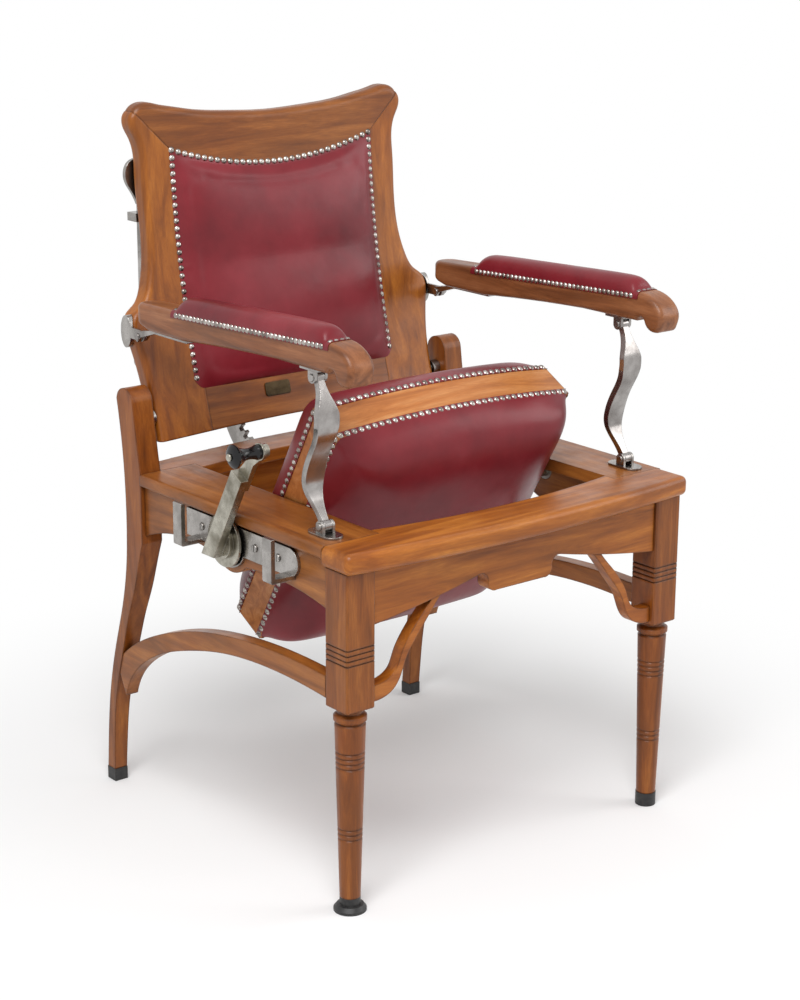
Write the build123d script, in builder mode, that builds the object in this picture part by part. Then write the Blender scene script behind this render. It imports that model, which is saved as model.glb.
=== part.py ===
from build123d import *
import os
from math import cos, hypot, radians, sin

os.makedirs("parts", exist_ok=True)

# A reclining barber's chair with a revolving double-sided seat, in millimetres.
# x runs to the sitter's left, y to the back, z up. The origin is on the floor
# under the shaft that the seat turns on.

# Driving sizes of the whole chair
seat_top = 500.0  # top of the seat frame above the floor
frame_half = 302.0  # outer edge of the side boards
board_wide = 93.0  # from that edge in to the opening that the seat turns in
opening_depth = 191.5  # half depth of that opening at its corners
opening_bow = 20.0  # front and rear edges of the opening bow out this far
shaft_drop = 43.0  # the seat shaft lies this far below the frame's top
seat_tilt = 29.0  # degrees that the seat leans forward from upright
back_pivot_y = 248.0
back_pivot_rise = 68.0  # the back's pivot above the frame's top
back_range = 36.0  # degrees that the back reclines
arm_inset = 35.0  # from the frame's edge in to the middle of an arm and its post
opening_half = frame_half - board_wide
seat_pivot_height = seat_top - shaft_drop
back_pivot_z = seat_top + back_pivot_rise
arm_x = frame_half - arm_inset

# Allowances
overrun = 2.0  # every cut runs past its faces by this
play = 0.4  # beside faces that move past each other
turning_play = 0.06  # around a pin or shaft that turns in its hole


def save(solid, name):
    """One piece, written under its own name."""
    solid.label = name
    export_step(solid, f"parts/{name}.step")


def save_pair(solid, name):
    """A piece made on the sitter's left, and its mirror image on the right."""
    save(solid, f"{name}_left")
    save(mirror(solid, about=Plane.YZ), f"{name}_right")


def save_both(solid, name):
    """A piece made on the sitter's left with its mirror image, as one group."""
    save(Compound(solid.solids() + mirror(solid, about=Plane.YZ).solids()), name)


def at_shares(shares, origin, size):
    """Points of an outline: shares of a size, counted from its origin."""
    return [(origin[0] + size[0] * s, origin[1] + size[1] * t) for s, t in shares]


def side_plane(x):
    """A plane across the chair, drawn in y and z, that extrudes to the left."""
    return Plane.YZ.offset(x)


def rod_between(x0, x1, y, z, radius, bore=0):
    """A round bar or tube along x."""
    with BuildPart() as bar:
        with BuildSketch(side_plane(x0)):
            with Locations((y, z)):
                Circle(radius)
                if bore:
                    Circle(bore, mode=Mode.SUBTRACT)
        extrude(amount=x1 - x0)
    return bar.part


# Front legs: a square block above, turned below, with scratched rings
leg_block = 46.0
block_long = 187.0
leg_inset = 28.3
leg_y = -232.0
nosing_thick = 28.0
tip_height = 20.0
neck_radius = 16.0
collar_radius = 22.0
taper_radius = 20.5
foot_radius = 14.0
neck_height = 6.0
collar_height = 12.0
collar_gap = 4.0
groove_depth = 1.6
groove_half = 1.8
groove_pitch = 7.0
block_groove_rise = 64.0
block_groove_count = 4
upper_ring_share = 0.716
upper_ring_count = 4
lower_ring_share = 0.365
lower_ring_count = 3
block_edge = 2.0
leg_x = frame_half - leg_inset
block_top = seat_top - nosing_thick
block_bottom = block_top - block_long


def turned_radius(z):
    """Radius of the tapered part of the leg at a height."""
    top = block_bottom - neck_height - collar_height - collar_gap
    return foot_radius + (taper_radius - foot_radius) * (z - tip_height) / (top - tip_height)


def turned_profile():
    """Half section of the turned part, from the foot up to the block."""
    points = [(0, tip_height), (foot_radius, tip_height)]
    for share, count in ((lower_ring_share, lower_ring_count), (upper_ring_share, upper_ring_count)):
        for turn in range(count):
            z = share * block_bottom + turn * groove_pitch
            points.append((turned_radius(z - groove_half), z - groove_half))
            points.append((turned_radius(z) - groove_depth, z))
            points.append((turned_radius(z + groove_half), z + groove_half))
    collar_low = block_bottom - neck_height - collar_height
    points.append((taper_radius, collar_low - collar_gap))
    points.append((neck_radius + groove_depth, collar_low - collar_gap / 2))
    points.append((collar_radius, collar_low + collar_gap / 2))
    points.append((collar_radius, collar_low + collar_height - collar_gap))
    points.append((neck_radius, collar_low + collar_height))
    points.append((neck_radius, block_bottom + overrun))
    points.append((0, block_bottom + overrun))
    return points


with BuildPart() as leg_top:
    with BuildSketch(Plane((leg_x, leg_y, block_bottom))):
        Rectangle(leg_block, leg_block)
    extrude(amount=block_top - block_bottom)
    chamfer(leg_top.edges().filter_by(Axis.Z), block_edge)
    chamfer(leg_top.faces().sort_by(Axis.Z)[0].edges(), block_edge)
    for turn in range(block_groove_count):
        with BuildSketch(Plane((leg_x, leg_y, block_bottom + block_groove_rise + turn * groove_pitch))):
            Rectangle(leg_block + overrun, leg_block + overrun)
            Rectangle(leg_block - 2 * groove_depth, leg_block - 2 * groove_depth, mode=Mode.SUBTRACT)
        extrude(amount=groove_half, mode=Mode.SUBTRACT)

with BuildPart() as front_leg:
    with BuildSketch(Plane((leg_x, leg_y, 0), x_dir=(1, 0, 0), z_dir=(0, -1, 0))):
        Polygon(*turned_profile(), align=None)
    revolve(axis=Axis((leg_x, leg_y, 0), (0, 0, 1)))
    add(leg_top.part)
save_pair(front_leg.part, "front_leg")

# Seat frame boards, and the nosing that overhangs the front legs
board_thick = 18.0
nosing_corner = 263.0
nosing_bow = 20.0
nosing_round = 9.0
board_round = 5.0
rear_corner = 255.0
rear_bow = 24.0
rear_leg_front = 211.0
rear_leg_inset = 35.0
rear_leg_inner = frame_half - rear_leg_inset
front_joint = leg_y + leg_block / 2  # back face of the front legs

with BuildPart() as front_board:
    with BuildSketch(Plane.XY.offset(seat_top - nosing_thick)):
        with BuildLine():
            ThreePointArc((-frame_half, -nosing_corner), (0, -nosing_corner - nosing_bow),
                          (frame_half, -nosing_corner))
            ThreePointArc((-opening_half, -opening_depth), (0, -opening_depth - opening_bow),
                          (opening_half, -opening_depth))
            for side in (-1, 1):
                Polyline((side * frame_half, -nosing_corner), (side * frame_half, front_joint),
                         (side * opening_half, front_joint),
                         (side * opening_half, -opening_depth))
        make_face()
    extrude(amount=nosing_thick)
    fillet(front_board.edges().filter_by(Axis.Z).sort_by(Axis.Y)[:2], nosing_round)
    fillet(front_board.edges().filter_by(GeomType.CIRCLE).sort_by(Axis.Y)[:2], nosing_round)
save(front_board.part, "front_board")

with BuildPart() as side_board:
    with BuildSketch(Plane.XY.offset(seat_top - board_thick)):
        with Locations(((frame_half + opening_half) / 2, (rear_leg_front + front_joint) / 2)):
            Rectangle(frame_half - opening_half, rear_leg_front - front_joint)
    extrude(amount=board_thick)
    fillet(side_board.edges().filter_by(Axis.Y).group_by(Axis.X)[-1], board_round)
save_pair(side_board.part, "side_board")

with BuildPart() as rear_board:
    with BuildSketch(Plane.XY.offset(seat_top - board_thick)):
        with BuildLine():
            ThreePointArc((-rear_leg_inner, rear_corner), (0, rear_corner + rear_bow),
                          (rear_leg_inner, rear_corner))
            ThreePointArc((-opening_half, opening_depth), (0, opening_depth + opening_bow),
                          (opening_half, opening_depth))
            for side in (-1, 1):
                Polyline((side * rear_leg_inner, rear_corner), (side * rear_leg_inner, rear_leg_front),
                         (side * opening_half, rear_leg_front), (side * opening_half, opening_depth))
        make_face()
    extrude(amount=board_thick)
    fillet(rear_board.faces().sort_by(Axis.Y)[-1].edges().filter_by(GeomType.CIRCLE), board_round)
save(rear_board.part, "rear_board")

# Rear legs: sawn in a sweep from the ear at the back pivot down to the foot
ear_over = 49.0
ear_top = back_pivot_z + ear_over
leg_sweep = 102.0
rear_leg_thick = 33.5
rear_foot_thick = 20.0
rear_taper_start = 400.0
leg_front_shares = ((1.00, 0.032), (0.98, 0.079), (0.873, 0.224), (0.618, 0.363), (0.422, 0.457),
                    (0.255, 0.522), (0.118, 0.590), (0.0, 0.645))
ear_front_shares = ((0.0, 0.810), (0.078, 0.882), (0.160, 0.972))
ear_round_share = (0.36, 1.0)
leg_back_shares = ((0.555, 0.972), (0.422, 0.825), (0.392, 0.742), (0.422, 0.595), (0.578, 0.476),
                   (0.843, 0.348), (1.078, 0.186), (1.157, 0.079), (1.186, 0.032))
leg_edge = 2.5

with BuildPart() as rear_leg:
    leg_origin = (rear_leg_front, 0)
    leg_size = (leg_sweep, ear_top)
    front_edge = at_shares(leg_front_shares, leg_origin, leg_size)
    ear_edge = at_shares(ear_front_shares, leg_origin, leg_size)
    ear_round = at_shares((ear_round_share,), leg_origin, leg_size)[0]
    back_edge = at_shares(leg_back_shares, leg_origin, leg_size)
    with BuildSketch(side_plane(rear_leg_inner)):
        with BuildLine():
            Spline(*front_edge)
            Line(front_edge[-1], ear_edge[0])
            Spline(*ear_edge)
            ThreePointArc(ear_edge[-1], ear_round, back_edge[0])
            Spline(*back_edge)
            Line(back_edge[-1], front_edge[0])
        make_face()
    extrude(amount=rear_leg_thick)
    foot_inset = (rear_leg_thick - rear_foot_thick) / 2
    with BuildSketch(Plane.XZ):
        with BuildLine():
            Polyline((rear_leg_inner + foot_inset, 0), (rear_leg_inner, rear_taper_start),
                     (rear_leg_inner, ear_top + overrun), (rear_leg_inner + rear_leg_thick, ear_top + overrun),
                     (rear_leg_inner + rear_leg_thick, rear_taper_start),
                     (rear_leg_inner + rear_leg_thick - foot_inset, 0), close=True)
        make_face()
    extrude(amount=-(rear_leg_front + 2 * leg_sweep), mode=Mode.INTERSECT)

pivot_pin_radius = 6.0
pivot_pin_depth = 25.0
with BuildPart() as bored_rear_leg:
    add(rear_leg.part)
    with BuildSketch(side_plane(rear_leg_inner)):
        with Locations((back_pivot_y, back_pivot_z)):
            Circle(pivot_pin_radius)
    extrude(amount=pivot_pin_depth, mode=Mode.SUBTRACT)
save_pair(bored_rear_leg.part, "rear_leg")

# Feet: a wide disc glide under one front leg, plain caps under the others
glide_radius = 22.0
glide_edge = 4.0
glide_height = 9.0
cap_wall = 0.8

with BuildPart() as glide:
    with BuildSketch(Plane((-leg_x, leg_y, 0), x_dir=(1, 0, 0), z_dir=(0, -1, 0))):
        Polygon((0, 0), (glide_radius, 0), (glide_radius, glide_edge), (foot_radius + glide_edge, glide_height),
                (foot_radius, glide_height + cap_wall), (foot_radius, tip_height), (0, tip_height), align=None)
    revolve(axis=Axis((-leg_x, leg_y, 0), (0, 0, 1)))
save(glide.part, "front_glide_right")

with BuildPart() as front_cap:
    with BuildSketch(Plane.XY):
        with Locations((leg_x, leg_y)):
            Circle(foot_radius + cap_wall)
    extrude(amount=tip_height)
    chamfer(front_cap.faces().sort_by(Axis.Z)[0].edges(), cap_wall)
save(front_cap.part, "front_cap_left")

rear_foot_front, rear_foot_back = front_edge[0][0], back_edge[-1][0]
with BuildPart() as rear_cap:
    with BuildSketch(Plane.XY):
        with Locations((rear_leg_inner + rear_leg_thick / 2, (rear_foot_front + rear_foot_back) / 2)):
            Rectangle(rear_foot_thick + 2 * cap_wall, rear_foot_back - rear_foot_front + 2 * cap_wall)
    extrude(amount=front_edge[0][1])
    chamfer(rear_cap.faces().sort_by(Axis.Z)[0].edges(), cap_wall)
save_both(rear_cap.part, "rear_caps")

# Rails under the boards
rail_inset = 8.0
side_rail_thick = 22.0
boss_radius = 46.0
boss_meets_drop = 32.0  # below the shaft; the next drops are below the frame's top
rail_front_drop = 84.0
rail_front_arch_drop = 72.0
rail_rear_arch_drop = 69.0
rail_rear_drop = 91.0
bush_radius = 15.0
shaft_radius = 10.0
side_rail_outer = frame_half - rail_inset
rail_top = seat_top - board_thick
rail_front_bottom = seat_top - rail_front_drop
rail_rear_bottom = seat_top - rail_rear_drop
boss_meets = seat_pivot_height - boss_meets_drop
boss_half = (boss_radius ** 2 - (seat_pivot_height - boss_meets) ** 2) ** 0.5

with BuildPart() as side_rail:
    with BuildSketch(side_plane(side_rail_outer - side_rail_thick)):
        with BuildLine():
            ThreePointArc((front_joint, rail_front_bottom),
                          ((front_joint - boss_half) / 2, seat_top - rail_front_arch_drop), (-boss_half, boss_meets))
            ThreePointArc((-boss_half, boss_meets), (0, seat_pivot_height - boss_radius),
                          (boss_half, boss_meets))
            ThreePointArc((boss_half, boss_meets),
                          ((boss_half + rear_leg_front) / 2, seat_top - rail_rear_arch_drop),
                          (rear_leg_front, rail_rear_bottom))
            Polyline((rear_leg_front, rail_rear_bottom), (rear_leg_front, rail_top),
                     (front_joint, rail_top), (front_joint, rail_front_bottom))
        make_face()
        with Locations((0, seat_pivot_height)):
            Circle(bush_radius, mode=Mode.SUBTRACT)
    extrude(amount=side_rail_thick)
save(side_rail.part, "side_rail_left")

# Front apron with its shaped lower edge, and the plain rear rail
apron_face = 250.0
apron_thick = 22.0
apron_low_drop = 100.0  # the middle of the apron ends this far below the frame's top
apron_arch_drop = 73.0
apron_mid_drop = 89.0
apron_end_drop = 104.0
apron_drop_half = 42.0
apron_step_half = 72.0
apron_mid_share = 0.60
apron_half = leg_x - leg_block / 2
apron_drop = seat_top - apron_low_drop
apron_arch = seat_top - apron_arch_drop
apron_mid_height = seat_top - apron_mid_drop
apron_end_height = seat_top - apron_end_drop

with BuildPart() as front_apron:
    with BuildSketch(Plane.XZ.offset(apron_face)):
        with BuildLine():
            step_mid = ((apron_drop_half + apron_step_half) / 2, (apron_drop + apron_arch) / 2)
            bulge = (apron_step_half - apron_drop_half) / 8
            for side in (-1, 1):
                ThreePointArc((side * apron_drop_half, apron_drop),
                              (side * ((apron_drop_half + step_mid[0]) / 2 + bulge),
                               (apron_drop + step_mid[1]) / 2 - bulge),
                              (side * step_mid[0], step_mid[1]))
                ThreePointArc((side * step_mid[0], step_mid[1]),
                              (side * ((apron_step_half + step_mid[0]) / 2 - bulge),
                               (apron_arch + step_mid[1]) / 2 + bulge),
                              (side * apron_step_half, apron_arch))
                ThreePointArc((side * apron_step_half, apron_arch),
                              (side * apron_mid_share * apron_half, apron_mid_height),
                              (side * apron_half, apron_end_height))
                Line((side * apron_half, apron_end_height), (side * apron_half, block_top))
            Line((-apron_drop_half, apron_drop), (apron_drop_half, apron_drop))
            Line((-apron_half, block_top), (apron_half, block_top))
        make_face()
    extrude(amount=-apron_thick)
save(front_apron.part, "front_apron")

rear_rail_y = 229.0
rear_rail_thick = 20.0
rear_rail_drop = 75.0
rear_rail_bottom = seat_top - rear_rail_drop
with BuildPart() as rear_rail:
    with BuildSketch(Plane.XY.offset(rear_rail_bottom)):
        with Locations((0, rear_rail_y + rear_rail_thick / 2)):
            Rectangle(2 * rear_leg_inner, rear_rail_thick)
    extrude(amount=rail_top - rear_rail_bottom)
save(rear_rail.part, "rear_rail")

# Arched side stretchers, from the front legs down to the rear legs
stretcher_inset = 6.0
stretcher_thick = 20.0
stretcher_past = 84.0  # its end lies this far behind the top of the rear leg's front edge
stretcher_rise = 42.0
stretcher_outer = frame_half - stretcher_inset
stretcher_reach = rear_leg_front + stretcher_past - front_joint
stretcher_high = block_bottom + stretcher_rise
stretcher_upper_shares = ((0.0, 0.995), (0.19, 1.0), (0.45, 0.966), (0.57, 0.930), (0.715, 0.862),
                          (0.84, 0.78), (0.935, 0.69), (1.0, 0.60))
stretcher_lower_shares = ((0.955, 0.46), (0.915, 0.575), (0.84, 0.676), (0.74, 0.758), (0.62, 0.822),
                          (0.476, 0.878), (0.31, 0.911), (0.0, 0.905))

with BuildPart() as side_stretcher:
    with BuildSketch(side_plane(stretcher_outer - stretcher_thick)):
        with BuildLine():
            upper = at_shares(stretcher_upper_shares, (front_joint, 0), (stretcher_reach, stretcher_high))
            lower = at_shares(stretcher_lower_shares, (front_joint, 0), (stretcher_reach, stretcher_high))
            Spline(*upper)
            Line(upper[-1], lower[0])
            Spline(*lower)
            Line(lower[-1], upper[0])
        make_face()
    extrude(amount=stretcher_thick)
    add(rear_leg.part, mode=Mode.SUBTRACT)
save_pair(ShapeList(side_stretcher.part.solids()).sort_by(Axis.Y)[0], "side_stretcher")

# S-shaped braces between the front legs and the apron
brace_thick = 18.0
brace_reach = 122.0
brace_over = 6.0
brace_rise = 130.0
brace_outer_shares = ((0.0, 0.17), (0.18, 0.185), (0.315, 0.26), (0.395, 0.42), (0.49, 0.57), (0.61, 0.71),
                      (0.73, 0.83), (0.82, 0.93), (0.88, 1.0))
brace_inner_shares = ((0.985, 1.0), (0.905, 0.91), (0.80, 0.79), (0.69, 0.66), (0.57, 0.52), (0.465, 0.37),
                      (0.395, 0.21), (0.30, 0.08), (0.165, 0.015), (0.0, 0.0))
brace_low = block_bottom + brace_over

with BuildPart() as corner_brace:
    with BuildSketch(Plane.XZ.offset(apron_face - (apron_thick - brace_thick) / 2)):
        with BuildLine():
            outer = at_shares(brace_outer_shares, (apron_half, brace_low), (-brace_reach, brace_rise))
            inner = at_shares(brace_inner_shares, (apron_half, brace_low), (-brace_reach, brace_rise))
            Spline(*outer)
            Line(outer[-1], inner[0])
            Spline(*inner)
            Line(inner[-1], outer[0])
        make_face()
    extrude(amount=-brace_thick)
    add(front_apron.part, mode=Mode.SUBTRACT)
save_pair(corner_brace.part.solids().sort_by(Axis.Z)[0], "corner_brace")

# Iron plate on the sitter's right that catches the seat lever in its two hooks
plate_thick = 5.0
plate_below = 16.0  # the plate's lower edge below the shaft
plate_above = 22.5
hook_above = 41.0
plate_front = -155.0
plate_rear = 98.0
plate_eye = 38.0
plate_boss = 26.0
hook_width = 19.0
hook_thick = 6.5
hook_lip = 6.0
front_hook_y = -135.0
rear_hook_y = 70.0
lever_wide = 25.0
lever_thick = 13.0
hub_gap = 1.0
hub_disc_thick = 4.0
hub_long = 6.0
screw_radius = 5.5
screw_shank = 2.2
screw_long = 16.0
screw_head = 2.4
slot_width = 1.4
slot_depth = 1.2
plate_screw_shares = (0.17, 0.37, 0.86)
plate_low = seat_pivot_height - plate_below
plate_high = seat_pivot_height + plate_above
hook_high = seat_pivot_height + hook_above
plate_face = side_rail_outer + plate_thick
lever_inner = frame_half + hub_gap + hub_disc_thick + hub_long
lever_outer = lever_inner + lever_thick
hook_inner = lever_outer + 2 * play
hook_floor = seat_pivot_height - lever_wide / 2 - play
plate_mid = (plate_low + plate_high) / 2
plate_half = (plate_high - plate_low) / 2
plate_screw_y = [plate_front + share * (plate_rear - plate_front) for share in plate_screw_shares]

with BuildPart() as hook_plate:
    with BuildSketch(side_plane(-side_rail_outer)):
        with Locations(((plate_rear + plate_front + plate_half) / 2, plate_mid)):
            Rectangle(plate_rear - plate_front - plate_half, 2 * plate_half)
        with Locations((plate_front + plate_half, plate_mid)):
            Circle(plate_half)
        with Locations((0, seat_pivot_height)):
            Circle(plate_eye)
        with Locations((0, plate_high + plate_eye / 2)):
            Rectangle(2 * plate_eye, plate_eye, mode=Mode.SUBTRACT)
    extrude(amount=-plate_thick)
    with BuildSketch(side_plane(-plate_face)):
        with Locations((0, seat_pivot_height)):
            Circle(plate_boss)
        with Locations((0, plate_high + plate_eye / 2)):
            Rectangle(2 * plate_eye, plate_eye, mode=Mode.SUBTRACT)
    extrude(amount=-(frame_half - plate_face))
    for hook_y in (front_hook_y, rear_hook_y):
        with BuildSketch(side_plane(-side_rail_outer)):
            with Locations((hook_y, hook_floor - hook_lip / 2)):
                Rectangle(hook_width, hook_lip)
        extrude(amount=-(hook_inner + hook_thick - side_rail_outer))
        with BuildSketch(side_plane(-hook_inner)):
            with Locations((hook_y, (hook_floor - hook_lip + hook_high) / 2)):
                Rectangle(hook_width, hook_high - hook_floor + hook_lip)
        extrude(amount=-hook_thick)
    fillet(hook_plate.edges().filter_by(Axis.Y).group_by(Axis.Z)[-1], hook_thick / 3)
    fillet(hook_plate.edges().filter_by(Axis.Y).group_by(Axis.X)[0].sort_by(Axis.Z)[:2], hook_thick / 2)
    with BuildSketch(side_plane(-side_rail_outer)):
        with Locations((0, seat_pivot_height)):
            Circle(shaft_radius + turning_play)
        with Locations(*[(y, plate_mid) for y in plate_screw_y]):
            Circle(screw_shank)
    extrude(amount=-(frame_half - side_rail_outer), mode=Mode.SUBTRACT)
save(hook_plate.part, "hook_plate")

with BuildPart() as screw:
    Cylinder(screw_radius, screw_head, align=(Align.CENTER, Align.CENTER, Align.MIN))
    fillet(screw.faces().sort_by(Axis.Z)[-1].edges(), screw_head / 2)
    Cylinder(screw_shank, screw_long, align=(Align.CENTER, Align.CENTER, Align.MAX))
    with BuildSketch(Plane.XY.offset(screw_head)):
        Rectangle(slot_width, 2 * screw_radius + overrun)
    extrude(amount=-slot_depth, mode=Mode.SUBTRACT)


def screws(planes):
    """The same slotted screw, once at each plane."""
    return Compound([screw.part.solids()[0].moved(Location(plane)) for plane in planes])


def facing(x, y, z, direction, upward=(0, 0, 1)):
    """A plane at a point, with its normal in a direction."""
    return Plane((x, y, z), x_dir=Vector(*upward).cross(Vector(*direction)), z_dir=direction)


plate_screws = screws([facing(-plate_face, y, plate_mid, (-1, 0, 0)) for y in plate_screw_y])
with BuildPart() as bored_side_rail:
    add(mirror(side_rail.part, about=Plane.YZ))
    add(plate_screws, mode=Mode.SUBTRACT)
save(plate_screws, "plate_screws")
save(bored_side_rail.part, "side_rail_right")

# Bushes in the side rails, and the round cover over the left one
cover_radius = 24.0
cover_thick = 3.0
bush = rod_between(side_rail_outer - side_rail_thick, side_rail_outer, 0, seat_pivot_height, bush_radius,
                   shaft_radius + turning_play)
save_both(bush, "shaft_bushes")
with BuildPart() as shaft_cover:
    add(rod_between(side_rail_outer, side_rail_outer + cover_thick, 0, seat_pivot_height, cover_radius))
    chamfer(shaft_cover.faces().sort_by(Axis.X)[-1].edges(), cover_thick / 3)
save(shaft_cover.part, "shaft_cover_left")

# The revolving seat, drawn on a plane through its shaft. Local y points along
# the seat towards the lever's knob, local z out of its front face.
seat_side_gap = 4.0
seat_end_gap = 4.5
seat_half = opening_half - seat_side_gap
seat_depth = opening_depth - seat_end_gap
seat_bow = 13.0
ring_half_thick = 31.0
ring_rail = 44.0
core_thick = 10.0
flange_thick = 3.0
flange_long = 60.0
flange_wide = 44.0
seat_tip = radians(seat_tilt)
seat_plane = Plane((0, 0, seat_pivot_height), x_dir=(1, 0, 0), z_dir=(0, -cos(seat_tip), -sin(seat_tip)))


def bowed_face(plane, half, depth, bow):
    """A rectangle whose front and rear edges bow outwards."""
    with BuildSketch(plane) as face:
        with BuildLine():
            ThreePointArc((-half, -depth), (0, -depth - bow), (half, -depth))
            Line((half, -depth), (half, depth))
            ThreePointArc((half, depth), (0, depth + bow), (-half, depth))
            Line((-half, depth), (-half, -depth))
        make_face()
    return face.sketch


with BuildPart() as seat_ring:
    extrude(bowed_face(seat_plane, seat_half, seat_depth, seat_bow), amount=ring_half_thick, both=True)
    extrude(bowed_face(seat_plane, seat_half - ring_rail, seat_depth - ring_rail, seat_bow),
            amount=ring_half_thick, both=True, mode=Mode.SUBTRACT)
save(seat_ring.part, "seat_ring")

with BuildPart() as seat_core:
    extrude(bowed_face(seat_plane, seat_half - ring_rail, seat_depth - ring_rail, seat_bow),
            amount=core_thick / 2, both=True)
save(seat_core.part, "seat_core")

# Each face of the seat has a crowned leather cushion with drawn-in sides
cushion_crown = 62.0
cushion_draw = 118.0
crown_height_shares = (0.0, 0.22, 0.48, 0.74, 0.91, 1.0)
crown_inset_shares = (0.0, 0.045, 0.11, 0.28, 0.60, 1.0)


def seat_cushion(side):
    """The cushion on the front face (side 1) or the rear face (side -1)."""
    sections = []
    for rise, inset in zip(crown_height_shares, crown_inset_shares):
        level = seat_plane.offset(side * (ring_half_thick + rise * cushion_crown))
        draw = inset * cushion_draw
        sections.append(bowed_face(level, seat_half - draw, seat_depth - draw, seat_bow))
    with BuildPart() as cushion:
        loft(sections)
    return cushion.part


save(seat_cushion(1), "seat_cushion_front")
save(seat_cushion(-1), "seat_cushion_back")

# Domed nails along both leather edges of the seat
nail_radius = 4.8
nail_height = 3.0
nail_pitch = 11.0
nail_row = 27.0

cap_radius = (nail_radius ** 2 + nail_height ** 2) / (2 * nail_height)
with BuildPart() as nail:
    with Locations((0, 0, nail_height - cap_radius)):
        Sphere(cap_radius)
    split(bisect_by=Plane.XY, keep=Keep.TOP)


def nails(planes):
    """The same nail, once at each plane."""
    return Compound([nail.part.solids()[0].moved(Location(plane)) for plane in planes])


def seat_nail_planes():
    """Places of the seat's nails, on both rows of its four sides."""
    places = []
    side_count = round(2 * seat_depth / nail_pitch)
    end_count = round(2 * seat_half / nail_pitch)
    bow_radius = (seat_half ** 2 + seat_bow ** 2) / (2 * seat_bow)
    for row in (-nail_row, nail_row):
        for turn in range(side_count):
            along = (turn + 0.5 - side_count / 2) * 2 * seat_depth / side_count
            for side in (-1, 1):
                places.append(((side * seat_half, along, row), (side, 0, 0)))
        for turn in range(end_count):
            across = (turn + 0.5 - end_count / 2) * 2 * seat_half / end_count
            lean = across / bow_radius
            out = seat_depth + seat_bow - bow_radius * (1 - cos(lean))
            for side in (-1, 1):
                places.append(((bow_radius * sin(lean), side * out, row), (sin(lean), side * cos(lean), 0)))
    planes = []
    for place, direction in places:
        origin = seat_plane.from_local_coords(Vector(*place))
        ahead = seat_plane.from_local_coords(Vector(*place) + Vector(*direction))
        planes.append(Plane(origin, z_dir=ahead - origin))
    return planes


save(nails(seat_nail_planes()), "seat_nails")

# Seat shafts with square flanges on the ring, the lever and its knob
disc_radius = 36.0
hub_radius = 24.0
tail_long = 30.0
tail_cut = 14.0
bar_long = 120.0
tongue_thick = 7.0
tongue_low = 100.0
tongue_half = 11.0
tongue_end = 9.5
knob_forward = 15.4
knob_out = 174.3
knob_pin_radius = 3.0
knob_disc = 15.5
knob_disc_thick = 7.0
knob_flange = 10.0
knob_waist = 7.5
knob_long = 44.0
washer_radius = 11.5
washer_thick = 3.5
pin_head = 5.0
pin_head_thick = 3.0


def seat_shaft(side, end):
    """A stub shaft from the seat ring out to a given distance from the middle."""
    with BuildPart() as shaft:
        start = seat_half
        across = Plane((side * start, 0, seat_pivot_height), x_dir=seat_plane.y_dir, z_dir=(side, 0, 0))
        with BuildSketch(across):
            Rectangle(flange_long, flange_wide)
        extrude(amount=flange_thick)
        with BuildSketch(across):
            Circle(shaft_radius)
        extrude(amount=end - start)
    return shaft.part


save(seat_shaft(1, side_rail_outer - play), "seat_shaft_left")
save(seat_shaft(-1, lever_inner), "seat_shaft_right")


def lever_plane(distance):
    """A plane across the lever: local y runs up the lever, local z points outwards."""
    return Plane((-distance, 0, seat_pivot_height), x_dir=(0, -cos(seat_tip), -sin(seat_tip)), z_dir=(-1, 0, 0))


with BuildPart() as seat_lever:
    with BuildSketch(lever_plane(frame_half + hub_gap)):
        Circle(disc_radius)
    extrude(amount=hub_disc_thick)
    with BuildSketch(lever_plane(frame_half + hub_gap + hub_disc_thick)):
        Circle(hub_radius)
    extrude(amount=hub_long)
    with BuildSketch(lever_plane(lever_inner)):
        Polygon((-lever_wide / 2, -tail_long), (lever_wide / 2, -tail_long + tail_cut), (lever_wide / 2, bar_long),
                (-lever_wide / 2, bar_long), align=None)
    extrude(amount=lever_thick)
    with BuildSketch(lever_plane(lever_inner - tongue_thick)):
        with BuildLine():
            hook_reach = hook_width / 2 + play - front_hook_y
            Polyline((knob_forward - tongue_end, knob_out), (-tongue_half, bar_long), (-tongue_half, tongue_low),
                     (tongue_half, tongue_low), (tongue_half, hook_reach), (knob_forward + tongue_end, knob_out))
            ThreePointArc((knob_forward + tongue_end, knob_out), (knob_forward, knob_out + tongue_end),
                          (knob_forward - tongue_end, knob_out))
        make_face()
    extrude(amount=tongue_thick + overrun / 2)
    chamfer(seat_lever.faces().sort_by(Axis.X)[0].edges(), hub_gap)
    with BuildSketch(lever_plane(frame_half)):
        Circle(shaft_radius)
    extrude(amount=lever_inner - frame_half, mode=Mode.SUBTRACT)
    with BuildSketch(lever_plane(frame_half)):
        with Locations((knob_forward, knob_out)):
            Circle(knob_pin_radius)
    extrude(amount=2 * lever_thick, mode=Mode.SUBTRACT)
save(seat_lever.part, "seat_lever")

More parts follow.
